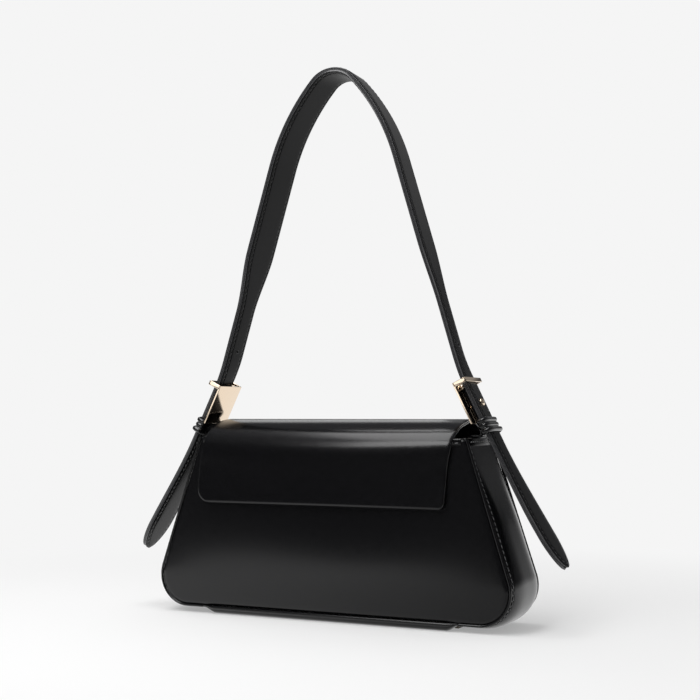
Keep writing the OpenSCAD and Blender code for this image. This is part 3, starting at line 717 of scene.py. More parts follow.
def length_along(line):
    """How far along the line each of its points lies."""
    total = [0]
    for (a, _), (b, _) in zip(line, line[1:]):
        total.append(total[-1] + (b - a).length)
    return total


def at(line, lengths, s):
    """The point and heading s mm along a line."""
    s = min(max(s, 0), lengths[-1])
    i = min(bisect.bisect_right(lengths, s), len(lengths) - 1) - 1
    k = (s - lengths[i]) / (lengths[i + 1] - lengths[i])
    return line[i][0].lerp(line[i + 1][0], k), line[i][1].lerp(line[i + 1][1], k).normalized()


FLAP_LINE = flap_line()
FLAP_S = length_along(FLAP_LINE)
CREST_S = FLAP_S[ROOT_STEPS + int(OVER_STEPS * CREST)]
FOLD_S = FLAP_S[ROOT_STEPS + OVER_STEPS]
FLAP_L = FLAP_S[-1]
print("flap", round(FLAP_L), "mm from the back rim to its lower edge")

# %% [markdown]
# The flap is one flexible sheet on the real bag. Here it is cut once across the crest, where nobody
# looks, because each half bends across one joint only: the first at the back rim and the second at
# the fold in front. A cut hide never hangs quite flat. Its hanging part leans to one side and falls
# back a little towards both sides, one side droops, and the edge is pressed thin.

# %% The flap's leathers
LEAN = 6
FLAP_ROUND = (11, 4.5)
PRESS = 0.35
WAVE = 0.2
DROOP = 1.5
FOLLOW = 2.4
FLAP_LAYERS = {"": (0, 1.3, CALF, "leather"), "_lining": (1.35, 0.8, LINING_CALF, "backing")}


def flap_sides(s):
    """Left and right edges of the flap s mm from the back rim, with the round lower corners."""
    hung = max(0, (s - FOLD_S) / (FLAP_L - FOLD_S))
    shift = -LEAN * soft(hung * 1.6) * (0.55 + 0.45 * hung)
    cuts = []
    for radius in FLAP_ROUND:
        under = max(0, s - (FLAP_L - radius))
        cuts.append(radius - math.sqrt(max(0, radius ** 2 - under ** 2)))
    return shift - FLAP_HALF + cuts[0], shift + FLAP_HALF - cuts[1]


def flap_point(s, u, down=0):
    """Where a point of the flap lies, down mm below its outer face."""
    (y, z), (hy, hz) = at(FLAP_LINE, FLAP_S, s)
    left, right = flap_sides(s)
    x = left + (right - left) * u
    inside = min(x - left, right - x, FLAP_L - s)
    press = PRESS * max(0, 1 - inside / 2.2) ** 2
    wave = WAVE * math.sin(x / 29 + 1) * soft((s - FOLD_S) / 30)
    droop = DROOP * max(0, 1 - (right - x) / 19) ** 2 * soft((s - CREST_S) / 12) * soft((FLAP_L - s) / 30)
    follow = FOLLOW * (x / FLAP_HALF) ** 2 * soft((s - FOLD_S) / 40)
    out = wave - press - droop - follow - down
    return Vector((x, y + hz * out, z - hy * out))


def flap_sheet(name, s0, s1, rows, layer, stands_for, bodies, start, end):
    """One half of one of the flap's two leathers."""
    down, thick, material, slot = layer
    hangs = s1 == FLAP_L

    def row(t):
        return s0 + (s1 - s0) * (1 - (1 - t) ** 1.25 if hangs else t)

    def edge(u, t):
        s = row(t)
        left, right = flap_sides(s)
        return min((right - left) * min(u, 1 - u), FLAP_L - s if hangs else NO_EDGE)

    def place(u, t):
        return flap_point(min(row(t), FLAP_L - 0.02), (crowded(u, 1.2) + 1) / 2, down)

    bm = grid(120, rows, place, edge)
    bmesh.ops.reverse_faces(bm, faces=bm.faces)
    made = piece(name, bm, material, None, stands_for, slot, thick=thick, round_edge=0.3, rim=FLAP_PAINT_HIGHLIGHT)
    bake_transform(made)


rear = [Vector((0, 27, RIM_Z - 0.5)), Vector((0, 26, RIM_Z + 8))]
fold = [Vector((0, -17, RIM_Z + 12)), Vector((0, -27, RIM_Z + 5))]
for name, layer in FLAP_LAYERS.items():
    flap_sheet("flap_over" + name, 0, CREST_S, 40, layer,
               ["flap_top" + name], ("bag", "flap_top"), *rear)
    flap_sheet("flap_hang" + name, CREST_S, FLAP_L, 90, layer,
               ["flap_front" + name], ("flap_top", "flap_front"), *fold)
print("flap in", 2 * len(FLAP_LAYERS), "sheets")

# %% [markdown]
# The buckle's frame of reference: u runs down the mirror plate from its top edge, v outward from its
# inner face. Everything at the bag's ends, the buckle, tab, keeper, stud and the strap's ends, is
# placed in it, on the right, and mirrored for the left.

# %% The buckle's frame
PLATE_TOP = Vector((RIM_HALF_W - 12.2, RIM_Z + 38.7))
PLATE_LEAN = math.radians(26.2)
STRAP_Y = -4
ALONG_Y = Matrix.Rotation(math.pi / 2, 4, "X")
down_dir = Vector((math.sin(PLATE_LEAN), 0, -math.cos(PLATE_LEAN)))
out_dir = Vector((math.cos(PLATE_LEAN), 0, math.sin(PLATE_LEAN)))
TO_BAG = Matrix((
    (down_dir.x, 0, out_dir.x, PLATE_TOP.x),
    (0, 1, 0, STRAP_Y),
    (down_dir.z, 0, out_dir.z, PLATE_TOP.y),
    (0, 0, 0, 1)))


def uv(u, v):
    """The (x, z) place of a point of the buckle's frame."""
    p = TO_BAG @ Vector((u, 0, v))
    return Vector((p.x, p.z))


def box_of(bm, low, high, bevel=0.3, segments=3):
    """Adds a box with rounded edges between two corners."""
    made = bmesh.ops.create_cube(bm, size=1)["verts"]
    bmesh.ops.scale(bm, vec=Vector(high) - Vector(low), verts=made)
    bmesh.ops.translate(bm, vec=(Vector(low) + Vector(high)) / 2, verts=made)
    edges = list({e for v in made for e in v.link_edges})
    bmesh.ops.bevel(bm, geom=edges, offset=bevel, segments=segments, profile=0.5, affect="EDGES", material=-1)


def both_sides(name, build, material, body, stands_for, slot, **finishing):
    """Builds a piece in the buckle's frame for the right side and mirrors it for the left."""
    for side, sign in SIDES:
        bm = build()
        bmesh.ops.transform(bm, matrix=TO_BAG, verts=bm.verts)
        if sign < 0:
            mirror_x(bm)
        owner = body.replace("SIDE", side)
        nodes = [n.replace("SIDE", side) for n in stands_for]
        piece(f"{side}_{name}", bm, material, owner, nodes, slot, **finishing)


print("buckle plates lean", round(math.degrees(PLATE_LEAN), 1), "degrees")

# %% [markdown]
# A buckle is cast and polished: a flat mirror plate towards the bag, a square loop over the strap and
# two ears for the pin. Boxes with a small bevel are enough, because a polished casting's edges are
# only just rounded. The stud is turned on a lathe, so half of its outline is spun round.

# %% Buckles, pins and studs
PLATE_W = 31.5
PLATE_L = 32
PLATE_T = 1.4
LOOP_D = 10.8
LOOP_H = 3.3
LOOP_T = 1.3
PIN_U = 4.35
PIN_V = 3.05
PIN_R = 0.75
PIN_L = 19.2
EAR_Y = 7.9
EAR_T = 1.5
EAR_R = 1.65
STUD_U = 19
STUD_FACE = 8.7
STUD_POST = 1.2
STUD_DOME = [(2.6, 0.25), (2.8, 0.45), (2.8, 0.8), (2.6, 1.25), (2.1, 1.7), (1.3, 2.05), (0.01, 2.2)]


def rod(bm, radius, length, y, segments):
    """Adds a round bar across the buckle, on the pin's own axis."""
    turn = Matrix.Translation((PIN_U, y, PIN_V)) @ ALONG_Y
    bmesh.ops.create_cone(bm, cap_ends=True, segments=segments, radius1=radius, radius2=radius, depth=length,
                          matrix=turn)


def buckle():
    """A mirror plate, a loop over the strap and two ears for the pin."""
    bm = bmesh.new()
    half = PLATE_W / 2
    box_of(bm, (0, -half, 0), (PLATE_L, half, PLATE_T))
    box_of(bm, (0, -half, LOOP_D - LOOP_T), (LOOP_H, half, LOOP_D))
    for side in (-1, 1):
        y0, y1 = sorted((side * half, side * (half - LOOP_T)))
        box_of(bm, (0, y0, 0.2), (LOOP_H, y1, LOOP_D - 0.1))
        y0, y1 = sorted((side * EAR_Y, side * (EAR_Y + EAR_T)))
        rod(bm, EAR_R, EAR_T, (y0 + y1) / 2, 28)
        box_of(bm, (PIN_U - EAR_R, y0, PLATE_T - 0.3), (PIN_U + EAR_R, y1, PIN_V), 0.1, 1)
    return bm


def pin():
    """The round bar through the ears, with soft ends."""
    bm = bmesh.new()
    rod(bm, PIN_R, PIN_L, 0, 24)
    ends = [e for e in bm.edges if e.calc_face_angle(0) > 1]
    bmesh.ops.bevel(bm, geom=ends, offset=0.2, segments=2, profile=0.5, affect="EDGES", material=-1)
    return bm


def stud():
    """A post with a domed head: half of its outline, spun round."""
    bm = bmesh.new()
    outline = [(STUD_POST, PLATE_T), (STUD_POST, STUD_FACE + 0.25)]
    outline += [(r, STUD_FACE + h) for r, h in STUD_DOME]
    verts = [bm.verts.new((r, 0, v)) for r, v in outline]
    edges = [bm.edges.new(pair) for pair in zip(verts, verts[1:])]
    bmesh.ops.spin(bm, geom=verts + edges, cent=(0, 0, 0), axis=(0, 0, 1), angle=2 * math.pi, steps=32,
                   use_merge=True)
    bmesh.ops.recalc_face_normals(bm, faces=bm.faces)
    bmesh.ops.translate(bm, vec=(STUD_U, 0, 0), verts=bm.verts)
    return bm


both_sides("buckle_plate", buckle, GOLD, "handle", ["SIDE_buckle"], "gold")
both_sides("buckle_pin", pin, GOLD, "handle", ["SIDE_pin"], "gold")
both_sides("stud_head", stud, GOLD, "handle", ["SIDE_stud"], "gold")
print("buckles", PLATE_W, "by", PLATE_L, "mm")

# %% [markdown]
# The strap is two leathers glued and sewn back to back. Its line, seen from the front, is a straight
# end in the buckle, a slow bend, a nearly straight leg, a rounder shoulder and a tight crown. The
# arcs are laid one after the other as a turtle would walk them, so no two pieces can come apart.

# %% The strap's line
STRAP_END_U = 40.3
STRAP_BEND_U = 2
LEG_LEAN = 16.8
BEND_R = 150
SHOULDER_R = 159
CROWN_LEAN = 42.7
CROWN_R = 20
STRAP_V = 6.7
STRAP_T = 2.0


def arc(start, radius, lean0, lean1, steps):
    """Points (x, z, lean) of an arc from a point. It starts with one lean and ends with the other."""
    a0 = math.radians(lean0)
    made = []
    for i in range(steps + 1):
        a = math.radians(lean0 + (lean1 - lean0) * i / steps)
        made.append((start[0] + radius * (math.cos(a) - math.cos(a0)),
                     start[1] + radius * (math.sin(a) - math.sin(a0)), a))
    return made


def strap_half_line():
    """The right half of the strap's middle line, from its end in the keeper up to the crown."""
    end, bend = uv(STRAP_END_U, STRAP_V), uv(STRAP_BEND_U, STRAP_V)
    line = [(*end.lerp(bend, i / 12), PLATE_LEAN) for i in range(12)]
    line += arc(bend, -BEND_R, math.degrees(PLATE_LEAN), LEG_LEAN, 12)
    leg_x, leg_z, lean = line.pop()
    crown_cos = math.cos(math.radians(CROWN_LEAN))
    shoulder_x = CROWN_R * crown_cos + SHOULDER_R * (math.cos(lean) - crown_cos)
    leg_l = (leg_x - shoulder_x) / math.sin(lean)
    for i in range(40):
        along = leg_l * i / 40
        line.append((leg_x - math.sin(lean) * along, leg_z + math.cos(lean) * along, lean))
    line += arc((shoulder_x, leg_z + math.cos(lean) * leg_l), SHOULDER_R, LEG_LEAN, CROWN_LEAN, 24)
    crown = line.pop()
    return line + arc(crown, CROWN_R, CROWN_LEAN, 90, 16)


STRAP_LINE = [(Vector((x, z)), Vector((-math.sin(a), math.cos(a)))) for x, z, a in strap_half_line()]
STRAP_LINE += [(Vector((-p.x, p.y)), Vector((h.x, -h.y))) for p, h in reversed(STRAP_LINE[:-1])]
STRAP_S = length_along(STRAP_LINE)
STRAP_L = STRAP_S[-1]
print("strap", round(STRAP_L), "mm long")

# %% [markdown]
# A band of leather is a grid along a line. Its outer face is a little padded between its two rows of
# stitches and thinner at its edges, where the leathers are skived, glued and pressed together. On
# the shoulder the band is wide, and its front edge stands out a little, as a worn strap's does.

# %% Bands of leather
PAD = 0.35
PAD_INSET = 1.8
SKIVED = 0.45
BAND_T = 1.9
BAND_CROWD = 1.25
GLUE = 0.03
END_W = 19.5
SHOULDER_W = 32
FLARE = math.tan(math.radians(5))
FLARE_FROM = 34
WIDENS = (RIM_Z + 96, RIM_Z + 142)


def band(line, lengths, end, half, face, rows, pad=PAD, flare=None):
    """One leather of a band along a line, from its start to its end. Its padded face lies at depth face."""
    sign = math.copysign(1, face)

    def place(u, t):
        s = end * t
        p, h = at(line, lengths, s)
        w = max(0.05, half(s, p))
        y = crowded(u, BAND_CROWD) * w
        inside = w - abs(y)
        hump = pad * (1 - math.exp(-max(0, inside - PAD_INSET) / 1.6))
        thin = SKIVED * max(0, 1 - inside / 1.6) ** 2
        turn = -y * flare(s, h) if flare else 0
        q = p + Vector((h.y, -h.x)) * (face + sign * (hump - thin) + turn)
        return Vector((q.x, STRAP_Y + y, q.y))

    def edge(u, t):
        s = end * t
        return half(s, at(line, lengths, s)[0]) * (1 - abs(crowded(u, BAND_CROWD)))

    bm = grid(24, rows, place, edge)
    if sign < 0:
        bmesh.ops.reverse_faces(bm, faces=bm.faces)
    return bm


def strap_half(s, p):
    """Half the strap's width at a point: narrow at the buckles and wide over the shoulder."""
    wide = soft((p.y - WIDENS[0]) / (WIDENS[1] - WIDENS[0]))
    return END_W / 2 + (SHOULDER_W - END_W) / 2 * wide


def strap_flare(s, h):
    """How far the strap's front edge stands outside its back edge: none in the buckles and at the crown."""
    return FLARE * soft((min(s, STRAP_L - s) - FLARE_FROM) / 30) * h.y ** 2


piece("strap_outer", band(STRAP_LINE, STRAP_S, STRAP_L, strap_half, STRAP_T, 420, flare=strap_flare),
      STRAP_CALF, "handle", ["strap"], "leather", thick=BAND_T, round_edge=0.35, rim=EDGE_PAINT)
piece("strap_inner", band(STRAP_LINE, STRAP_S, STRAP_L, strap_half, -STRAP_T, 420, flare=strap_flare),
      STRAP_BACK, "handle", ["strap_lining"], "backing", thick=BAND_T, round_edge=0.35, rim=EDGE_PAINT)
print("strap", END_W, "to", SHOULDER_W, "mm wide")

# %% [markdown]
# The strap has one spare hole a side, to shorten it by. No hole is cut: each is a dark disc of
# painted shade, standing for the shade inside the hole, with a burnished edge round it. Both are
# laid on each face, which leaves the leather's grid even, where a cut through it would break up its squares.

# %% Spare holes
HOLE_Z = 197
HOLE_R = 1.3
RING_R = 0.2


def punched(face, sign, build):
    """A small flat shape on one face of the strap, at the spare hole of one side."""
    s = next(s for s, (p, _) in zip(STRAP_S, STRAP_LINE) if p.y > HOLE_Z)
    p, h = at(STRAP_LINE, STRAP_S, s)
    normal = Vector((h.y, -h.x)) * face
    q = p + normal * (STRAP_T + PAD + GLUE)
    turn = Vector((normal.x, 0, normal.y)).to_track_quat("Z", "Y").to_matrix().to_4x4()
    bm = bmesh.new()
    build(bm)
    bmesh.ops.transform(bm, matrix=Matrix.Translation((q.x, STRAP_Y, q.y)) @ turn, verts=bm.verts)
    if sign < 0:
        mirror_x(bm)
    return bm


def hole_shade_disc(bm):
    """Painted shade: a dark disc that stands for the shade inside a hole."""
    bmesh.ops.create_cone(bm, cap_ends=True, segments=24, radius1=HOLE_R, radius2=HOLE_R, depth=0.04)


def burnished_ring(bm):
    """The burnished edge round a hole."""
    made = bmesh.ops.create_circle(bm, segments=8, radius=RING_R)["verts"]
    bmesh.ops.transform(bm, matrix=Matrix.Translation((HOLE_R, 0, 0)) @ ALONG_Y, verts=made)
    bmesh.ops.spin(bm, geom=bm.edges[:], cent=(0, 0, 0), axis=(0, 0, 1), angle=2 * math.pi, steps=24,
                   use_merge=True)
    bmesh.ops.remove_doubles(bm, verts=bm.verts, dist=0.001)
    bmesh.ops.recalc_face_normals(bm, faces=bm.faces)


for side, sign in SIDES:
    for place, face in (("outer", 1), ("inner", -1)):
        name = f"{side}_spare_hole_{place}"
        piece(name, punched(face, sign, hole_shade_disc), SHADE, "handle", slot="leather")
        piece(name + "_ring", punched(face, sign, burnished_ring), EDGE_PAINT, "handle", slot="leather")
print("spare holes at", HOLE_Z, "mm up")

# %% [markdown]
# A tail is the strap's free end, past the keeper. It is two leathers too, widens, and closes in a
# rounded tip. It lies on a slow curve away from the bag.

# %% Tails
TAIL_L = 106
TAIL_W = 28
TIP_L = 24
TAIL_LEAN = 33.5
TAIL_START = 42.75
INTO_KEEPER = 7
TAIL_PAD = 0.5


def tail_line():
    """The right tail's middle line, from inside the keeper down to its tip."""
    lean = math.degrees(PLATE_LEAN)
    root = uv(TAIL_START, STRAP_V)
    top = uv(TAIL_START - INTO_KEEPER, STRAP_V)
    line = [(top.lerp(root, i / 4), Vector((down_dir.x, down_dir.z))) for i in range(4)]
    radius = TAIL_L / math.radians(TAIL_LEAN - lean)
    for i in range(41):
        a = math.radians(lean + (TAIL_LEAN - lean) * i / 40)
        x = root.x + radius * (math.cos(PLATE_LEAN) - math.cos(a))
        z = root.y - radius * (math.sin(a) - math.sin(PLATE_LEAN))
        line.append((Vector((x, z)), Vector((math.sin(a), -math.cos(a)))))
    return line


TAIL_LINE = tail_line()
TAIL_S = length_along(TAIL_LINE)


def tail_half(s, p):
    """Half the tail's width s mm down its line: it widens, then closes in a rounded tip."""
    s = s - INTO_KEEPER
    w = END_W / 2 + (TAIL_W - END_W) / 2 * soft((s - 8) / (TAIL_L - TIP_L - 14))
    tip = (s - (TAIL_L - TIP_L)) / TIP_L
    if tip > 0:
        w = TAIL_W / 2 * max(0, 1 - tip ** 2) ** 0.5 * (1 - 0.08 * tip)
    return w


def tail_bend(sign):
    """Two points on a tail's line: one just above the keeper's lower edge and one below it."""
    p = uv(TAIL_START, STRAP_V)
    return [Vector((sign * (p.x + down_dir.x * d), STRAP_Y, p.y + down_dir.z * d)) for d in (-3, 6)]


for side, sign in SIDES:
    for layer, face, material, slot in (("", -STRAP_T, STRAP_BACK, "leather"),
                                        ("_lining", STRAP_T, STRAP_CALF, "backing")):
        bm = band(TAIL_LINE, TAIL_S, TAIL_S[-1] - 0.1, tail_half, face, 90, pad=TAIL_PAD)
        if sign < 0:
            mirror_x(bm)
        made = piece(f"{side}_tail_leather{layer}", bm, material, None, [f"{side}_tail{layer}"], slot,
                     thick=BAND_T, round_edge=0.35, rim=EDGE_PAINT)
        start, end = tail_bend(sign)
        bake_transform(made)
print("tails", TAIL_L, "mm long")

# %% [markdown]
# A keeper is a short band that holds the strap's end down. It has two raised ridges and a lower
# flange. It is a grid rolled round a rounded rectangle, whose radius swells at each ridge.

# %% Keepers
KEEPER_U = 31
KEEPER_L = 11.5
KEEPER_V = (2.65, 8.95)
KEEPER_HALF = END_W / 2 + 1.2
KEEPER_T = 1.2
KEEPER_ROUND = 0.45
INNER_MOST = 0.8
RIDGES = ((1.2, 0.14, 0.13), (0.9, 0.47, 0.12), (1.9, 0.82, 0.15))


def ring_point(k, out):
    """A point of the keeper's rounded outline, k once round it, out mm outside the strap."""
    c, s = math.cos(k * 2 * math.pi), math.sin(k * 2 * math.pi)
    middle = (KEEPER_V[0] + KEEPER_V[1]) / 2
    half_v = (KEEPER_V[1] - KEEPER_V[0]) / 2 + (min(out, INNER_MOST) if s < 0 else out)
    y = (KEEPER_HALF + out) * math.copysign(abs(c) ** KEEPER_ROUND, c)
    v = half_v * math.copysign(abs(s) ** (KEEPER_ROUND * 1.4), s)
    return y, middle + v


def ridge(t):
    """How far the keeper's face swells, t along its length: two ridges and a flange."""
    return sum(high * math.exp(-((t - place) / wide) ** 4) for high, place, wide in RIDGES)


def keeper():
    """A band round the strap."""
    def place(k, t):
        y, v = ring_point(k, KEEPER_T + ridge(t))
        return Vector((KEEPER_U + KEEPER_L * t, y, v))

    bm = grid(96, 30, place)
    bmesh.ops.remove_doubles(bm, verts=bm.verts, dist=0.001)
    bmesh.ops.recalc_face_normals(bm, faces=bm.faces)
    return bm


both_sides("keeper_band", keeper, KEEPER_CALF, "SIDE_keeper", ["SIDE_keeper"], "leather", thick=0.9,
           round_edge=0.3)
print("keepers", KEEPER_L, "mm long")

# %% [markdown]
# The tab is one strip that goes round the buckle's pin, runs down under the strap as two layers, and
# turns over the rim into the bag. On the real bag it is fixed at one end and swings at the other.

# %% Tabs
TAB_HALF = 7.5
TAB_T = 0.75
TAB_ROUND_PIN = 1.17
FOOT_Z = RIM_Z + 1.8
TAB_SEWN = 22


def tab_line():
    """The strip's middle line in (x, z), from inside the bag up round the pin and back."""
    inner = rim - side_out * 3.35
    points = [inner + side_down * TAB_SEWN, inner + side_down * 3]
    over_rim = ((inner.x + 1.2, -0.1), (inner.x + 4, 0.1), (113.5, 0.1))
    points += [Vector((x, FOOT_Z + dz)) for x, dz in over_rim]
    points += [uv(40.5, 3.35), uv(36, 3.3), uv(PIN_U + 6, 3.3)]
    for i in range(13):
        a = math.radians(-80 + 250 * i / 12)
        points.append(uv(PIN_U - TAB_ROUND_PIN * math.cos(a), PIN_V + TAB_ROUND_PIN * math.sin(a)))
    points += [uv(PIN_U + 6, 4.1), uv(36, 4.1), uv(41, 4.15)]
    return points + [Vector((115.5, FOOT_Z - 0.75)), Vector((inner.x + 3, FOOT_Z - 0.75))]


def even_line(points, step):
    """The line through some points, with headings, sampled every step mm and rounded off."""
    rounded = points
    for _ in range(3):
        cut = [rounded[0]]
        for a, b in zip(rounded, rounded[1:]):
            cut += [a.lerp(b, 0.25), a.lerp(b, 0.75)]
        rounded = cut + [rounded[-1]]
    line = [(a, (b - a).normalized()) for a, b in zip(rounded, rounded[1:]) if (b - a).length > 1e-4]
    line.append((rounded[-1], line[-1][1]))
    lengths = length_along(line)
    count = int(lengths[-1] / step)
    return [at(line, lengths, i * lengths[-1] / count) for i in range(count + 1)]


def tab():
    """The tab's strip for the right side."""
    line = even_line(tab_line(), 0.8)
    lengths = length_along(line)

    def place(u, t):
        p, h = at(line, lengths, t * lengths[-1])
        q = p + Vector((h.y, -h.x)) * TAB_T / 2
        return Vector((q.x, STRAP_Y + (2 * u - 1) * TAB_HALF, q.y))

    def edge(u, t):
        return TAB_HALF * (1 - abs(2 * u - 1))

    return grid(12, len(line) - 1, place, edge)


for side, sign in SIDES:
    bm = tab()
    if sign < 0:
        mirror_x(bm)
    made = piece(f"{side}_tab_strip", bm, STRAP_CALF, None, [f"{side}_tab", f"{side}_tab_anchor"], "leather",
                 thick=TAB_T, round_edge=0.15)
    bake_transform(made)
print("tabs", 2 * TAB_HALF, "mm wide")

# %% [markdown]
# Stitches are what the eye checks first on a leather bag. Each one is a small capsule of waxed
# thread, laid along its row at an even pitch and tipped a little, as a saddle stitch lies.

# %% Stitches
PITCH = 4.0
STITCH_L = 3.1
STITCH_R = 0.42
TIPPED = 0.14


def stitch_rows(name, rows, body, slot="leather", bodies=None, start=None, end=None, thread=DARK_THREAD):
    """One mesh of all the stitches along some rows. A row is a list of (point, normal) in mm."""
    bm = bmesh.new()
    one = bmesh.new()
    bmesh.ops.create_uvsphere(one, u_segments=8, v_segments=5, radius=1,
                              matrix=Matrix.Rotation(math.pi / 2, 4, "Y"))
    capsule = bpy.data.meshes.new("stitch")
    one.to_mesh(capsule)
    one.free()
    count = 0
    for row in rows:
        travelled, want = 0, PITCH / 2
        for (a, na), (b, nb) in zip(row, row[1:]):
            step = (b - a).length
            while want <= travelled + step:
                k = (want - travelled) / step
                point, normal = a.lerp(b, k), na.lerp(nb, k).normalized()
                heading = (b - a).normalized()
                heading = (heading + normal.cross(heading).normalized() * TIPPED).normalized()
                side = normal.cross(heading).normalized()
                turn = Matrix((heading * STITCH_L / 2, side * STITCH_R, normal * STITCH_R * 0.8))
                turned = capsule.copy()
                turned.transform(Matrix.Translation(point) @ turn.transposed().to_4x4())
                bm.from_mesh(turned)
                bpy.data.meshes.remove(turned)
                want += PITCH
                count += 1
            travelled += step
    bpy.data.meshes.remove(capsule)
    bmesh.ops.recalc_face_normals(bm, faces=bm.faces)
    made = piece(name, bm, thread, body, slot=slot)
    if bodies:
        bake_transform(made)
        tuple(start)
        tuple(end)
    return count


def band_row(line, lengths, s0, s1, half, depth, inset, sign=1, flare=None):
    """Points and normals of a stitch row near one edge of a band; inset is negative for the far edge."""
    row = []
    steps = int(abs(s1 - s0) / 1.5)
    for i in range(steps + 1):
        s = s0 + (s1 - s0) * i / steps
        p, h = at(line, lengths, s)
        normal = Vector((h.y, -h.x))
        y = math.copysign(max(0, half(s, p) - abs(inset)), inset)
        q = p + normal * (depth - (y * flare(s, h) if flare else 0))
        row.append((Vector((sign * q.x, STRAP_Y + y, q.y)),
                    Vector((sign * normal.x, 0, normal.y)) * math.copysign(1, depth)))
    return row


rows = [band_row(STRAP_LINE, STRAP_S, 3, STRAP_L - 3, strap_half, depth, inset, flare=strap_flare)
        for inset in (STITCH_INSET, -STITCH_INSET) for depth in (STRAP_T + 0.02, -STRAP_T - 0.02)]
total = stitch_rows("strap_stitches", rows, "handle")
for side, sign in SIDES:
    rows = []
    for depth in (STRAP_T + 0.12, -STRAP_T - 0.12):
        near, far = [band_row(TAIL_LINE, TAIL_S, INTO_KEEPER, TAIL_S[-1] - 3.2, tail_half, depth, inset, sign)
                     for inset in (STITCH_INSET, -STITCH_INSET)]
        rows.append(near + far[::-1])
    start, end = [p * MM for p in tail_bend(sign)]
    total += stitch_rows(side + "_tail_stitches", rows, None, bodies=("handle", side + "_tail"),
                         start=start, end=end)
print(total, "stitches on the strap and tails")

# %% [markdown]
# The seams of the body are sewn with a paler thread that shows as a dotted line beside the piping.
# The rows follow the same rules as the leather that they hold, so that no stitch floats or sinks.

# %% Seam stitches
def gusset_row(sign, front):
    """The stitch row on a gusset, beside its piping."""
    row = []
    for i in range(160):
        s = 4 + (SEAM_L - 6) * i / 159
        base, normal = seam(s)
        half = half_depth(base.y) - 3.6
        near = 1 - 3.25 / (half_depth(base.y) - SEAM_ALLOW)
        p = base + normal * (GUSSET_OUT + gusset_puff(near, s) + 0.05)
        place = Vector((sign * p.x, -half if front else half, p.y))
        row.append((place, Vector((sign * normal.x, 0, normal.y))))
    return row


def rim_row(sign):
    """The stitch row that holds a side binding."""
    p = rim + side_out * 1.55 + side_down * 3
    normal = Vector((sign * side_out.x, 0, side_out.y))
    return [(Vector((sign * p.x, -22 + 44 * i / 29, p.y)), normal) for i in range(30)]


def front_row():
    """The stitch row that holds the front binding."""
    y, z = -(half_depth(RIM_Z - 3) + PANEL_OUT + 0.8), RIM_Z - 3
    return [(Vector((-104 + 208 * i / 99, y, z)), Vector((0, -1, 0))) for i in range(100)]


rows = [gusset_row(sign, front) for _, sign in SIDES for front in (True, False)]
total = stitch_rows("gusset_stitches", rows, "bag", thread=THREAD)
rows = [rim_row(1), rim_row(-1), front_row()]
total += stitch_rows("binding_stitches", rows, "bag", "binding", thread=THREAD)
print(total, "stitches on the body")

# %% [markdown]
# The pieces inside keep their own solids, because their shapes are right, and only get a finish. The
# same holds for the snap and its washers.

# %% Finishes of the solids that stay
KEPT = {
    CLOTH: ["front_lining", "back_lining", "body_lining", "slip_pocket"],
    GOLD: ["snap_socket", "snap_stud"],
    STEEL: ["snap_socket_washer", "snap_stud_washer"],
    BOARD: ["base_board"],
    FELT: ["base_foam"]}
for material, names in KEPT.items():
    for name in names:
        mesh = frame["nodes"][name].data
        mesh.materials.clear()
        mesh.materials.append(material)
print(sum(len(names) for names in KEPT.values()), "solids keep their shape")

# %% [markdown]
# Black leather is lit by what it reflects, so the studio is mostly a matter of reflections. The
# floor is pale paper. It keeps the bag's shadow, and farther off the camera sees it as plain white.
# In reflections it is dim in front and at the right, so the bag's face stays dark there.

# %% The floor
WHITE = (0.913, 0.913, 0.913, 1)


def ease(tree, value, start, end, low=0, high=1):
    """Goes smoothly from low to high as a value goes from start to end."""
    made = node(tree, "ShaderNodeMapRange", interpolation_type="SMOOTHSTEP", in_Value=value,
                in_From_Min=start, in_From_Max=end, in_To_Min=low, in_To_Max=high)
    return made.outputs["Result"]


def choose(tree, factor, first, second):
    """One shader where a factor is 0, and the other where it is 1."""
    made = node(tree, "ShaderNodeMixShader")
    for socket, value in zip(made.inputs, (factor, first, second)):
        feed(tree, socket, value)
    return made.outputs[0]


def paper(name):
    """Matte white that keeps a shadow near the bag, and is plain white farther off."""
    made, tree, shader, where = finish(name, Base_Color=(0.9, 0.9, 0.9, 1), Roughness=0.9,
                                       Specular_IOR_Level=0.05)
    split = node(tree, "ShaderNodeSeparateXYZ", in_Vector=where).outputs
    far = node(tree, "ShaderNodeVectorMath", operation="LENGTH", in_Vector=where).outputs["Value"]
    front = ease(tree, split["Y"], -1.3, -0.35, low=0.1)
    left = ease(tree, split["X"], 0.25, -0.2, low=0.35)
    back = ease(tree, split["Y"], -0.2, 0.1)
    lit = math_node(tree, "MULTIPLY", front, math_node(tree, "MAXIMUM", left, back))
    paths = node(tree, "ShaderNodeLightPath").outputs
    mirrored = paths["Is Glossy Ray"]
    dimmed = math_node(tree, "MULTIPLY", mirrored, math_node(tree, "SUBTRACT", 1, lit))
    plain = node(tree, "ShaderNodeEmission", in_Color=WHITE,
                 in_Strength=math_node(tree, "SUBTRACT", 1, dimmed))
    seen = math_node(tree, "MULTIPLY", paths["Is Camera Ray"], ease(tree, far, 0.15, 0.6, low=0.35))
    factor = math_node(tree, "MAXIMUM", seen, mirrored)
    surface = choose(tree, factor, shader.outputs[0], plain.outputs[0])
    feed(tree, tree.nodes["Material Output"].inputs["Surface"], surface)
    return made


bm = bmesh.new()
bmesh.ops.create_grid(bm, x_segments=1, y_segments=1, size=20000)
floor = piece("floor", bm, paper("studio floor"))
print("floor", round(floor.dimensions.x), "m wide")

# %% [markdown]
# The room is plain white to the camera and gives a soft even light. What the bag mirrors is another
# room: dark grey, a little lighter overhead, with a white sheet low at the left rear, a faint skirt
# of light along the rear floor and a dim window above it. These draw the pale lines on the gusset,
# the strap and the flap's crest.

# %% The room
WINDOW = 0.22


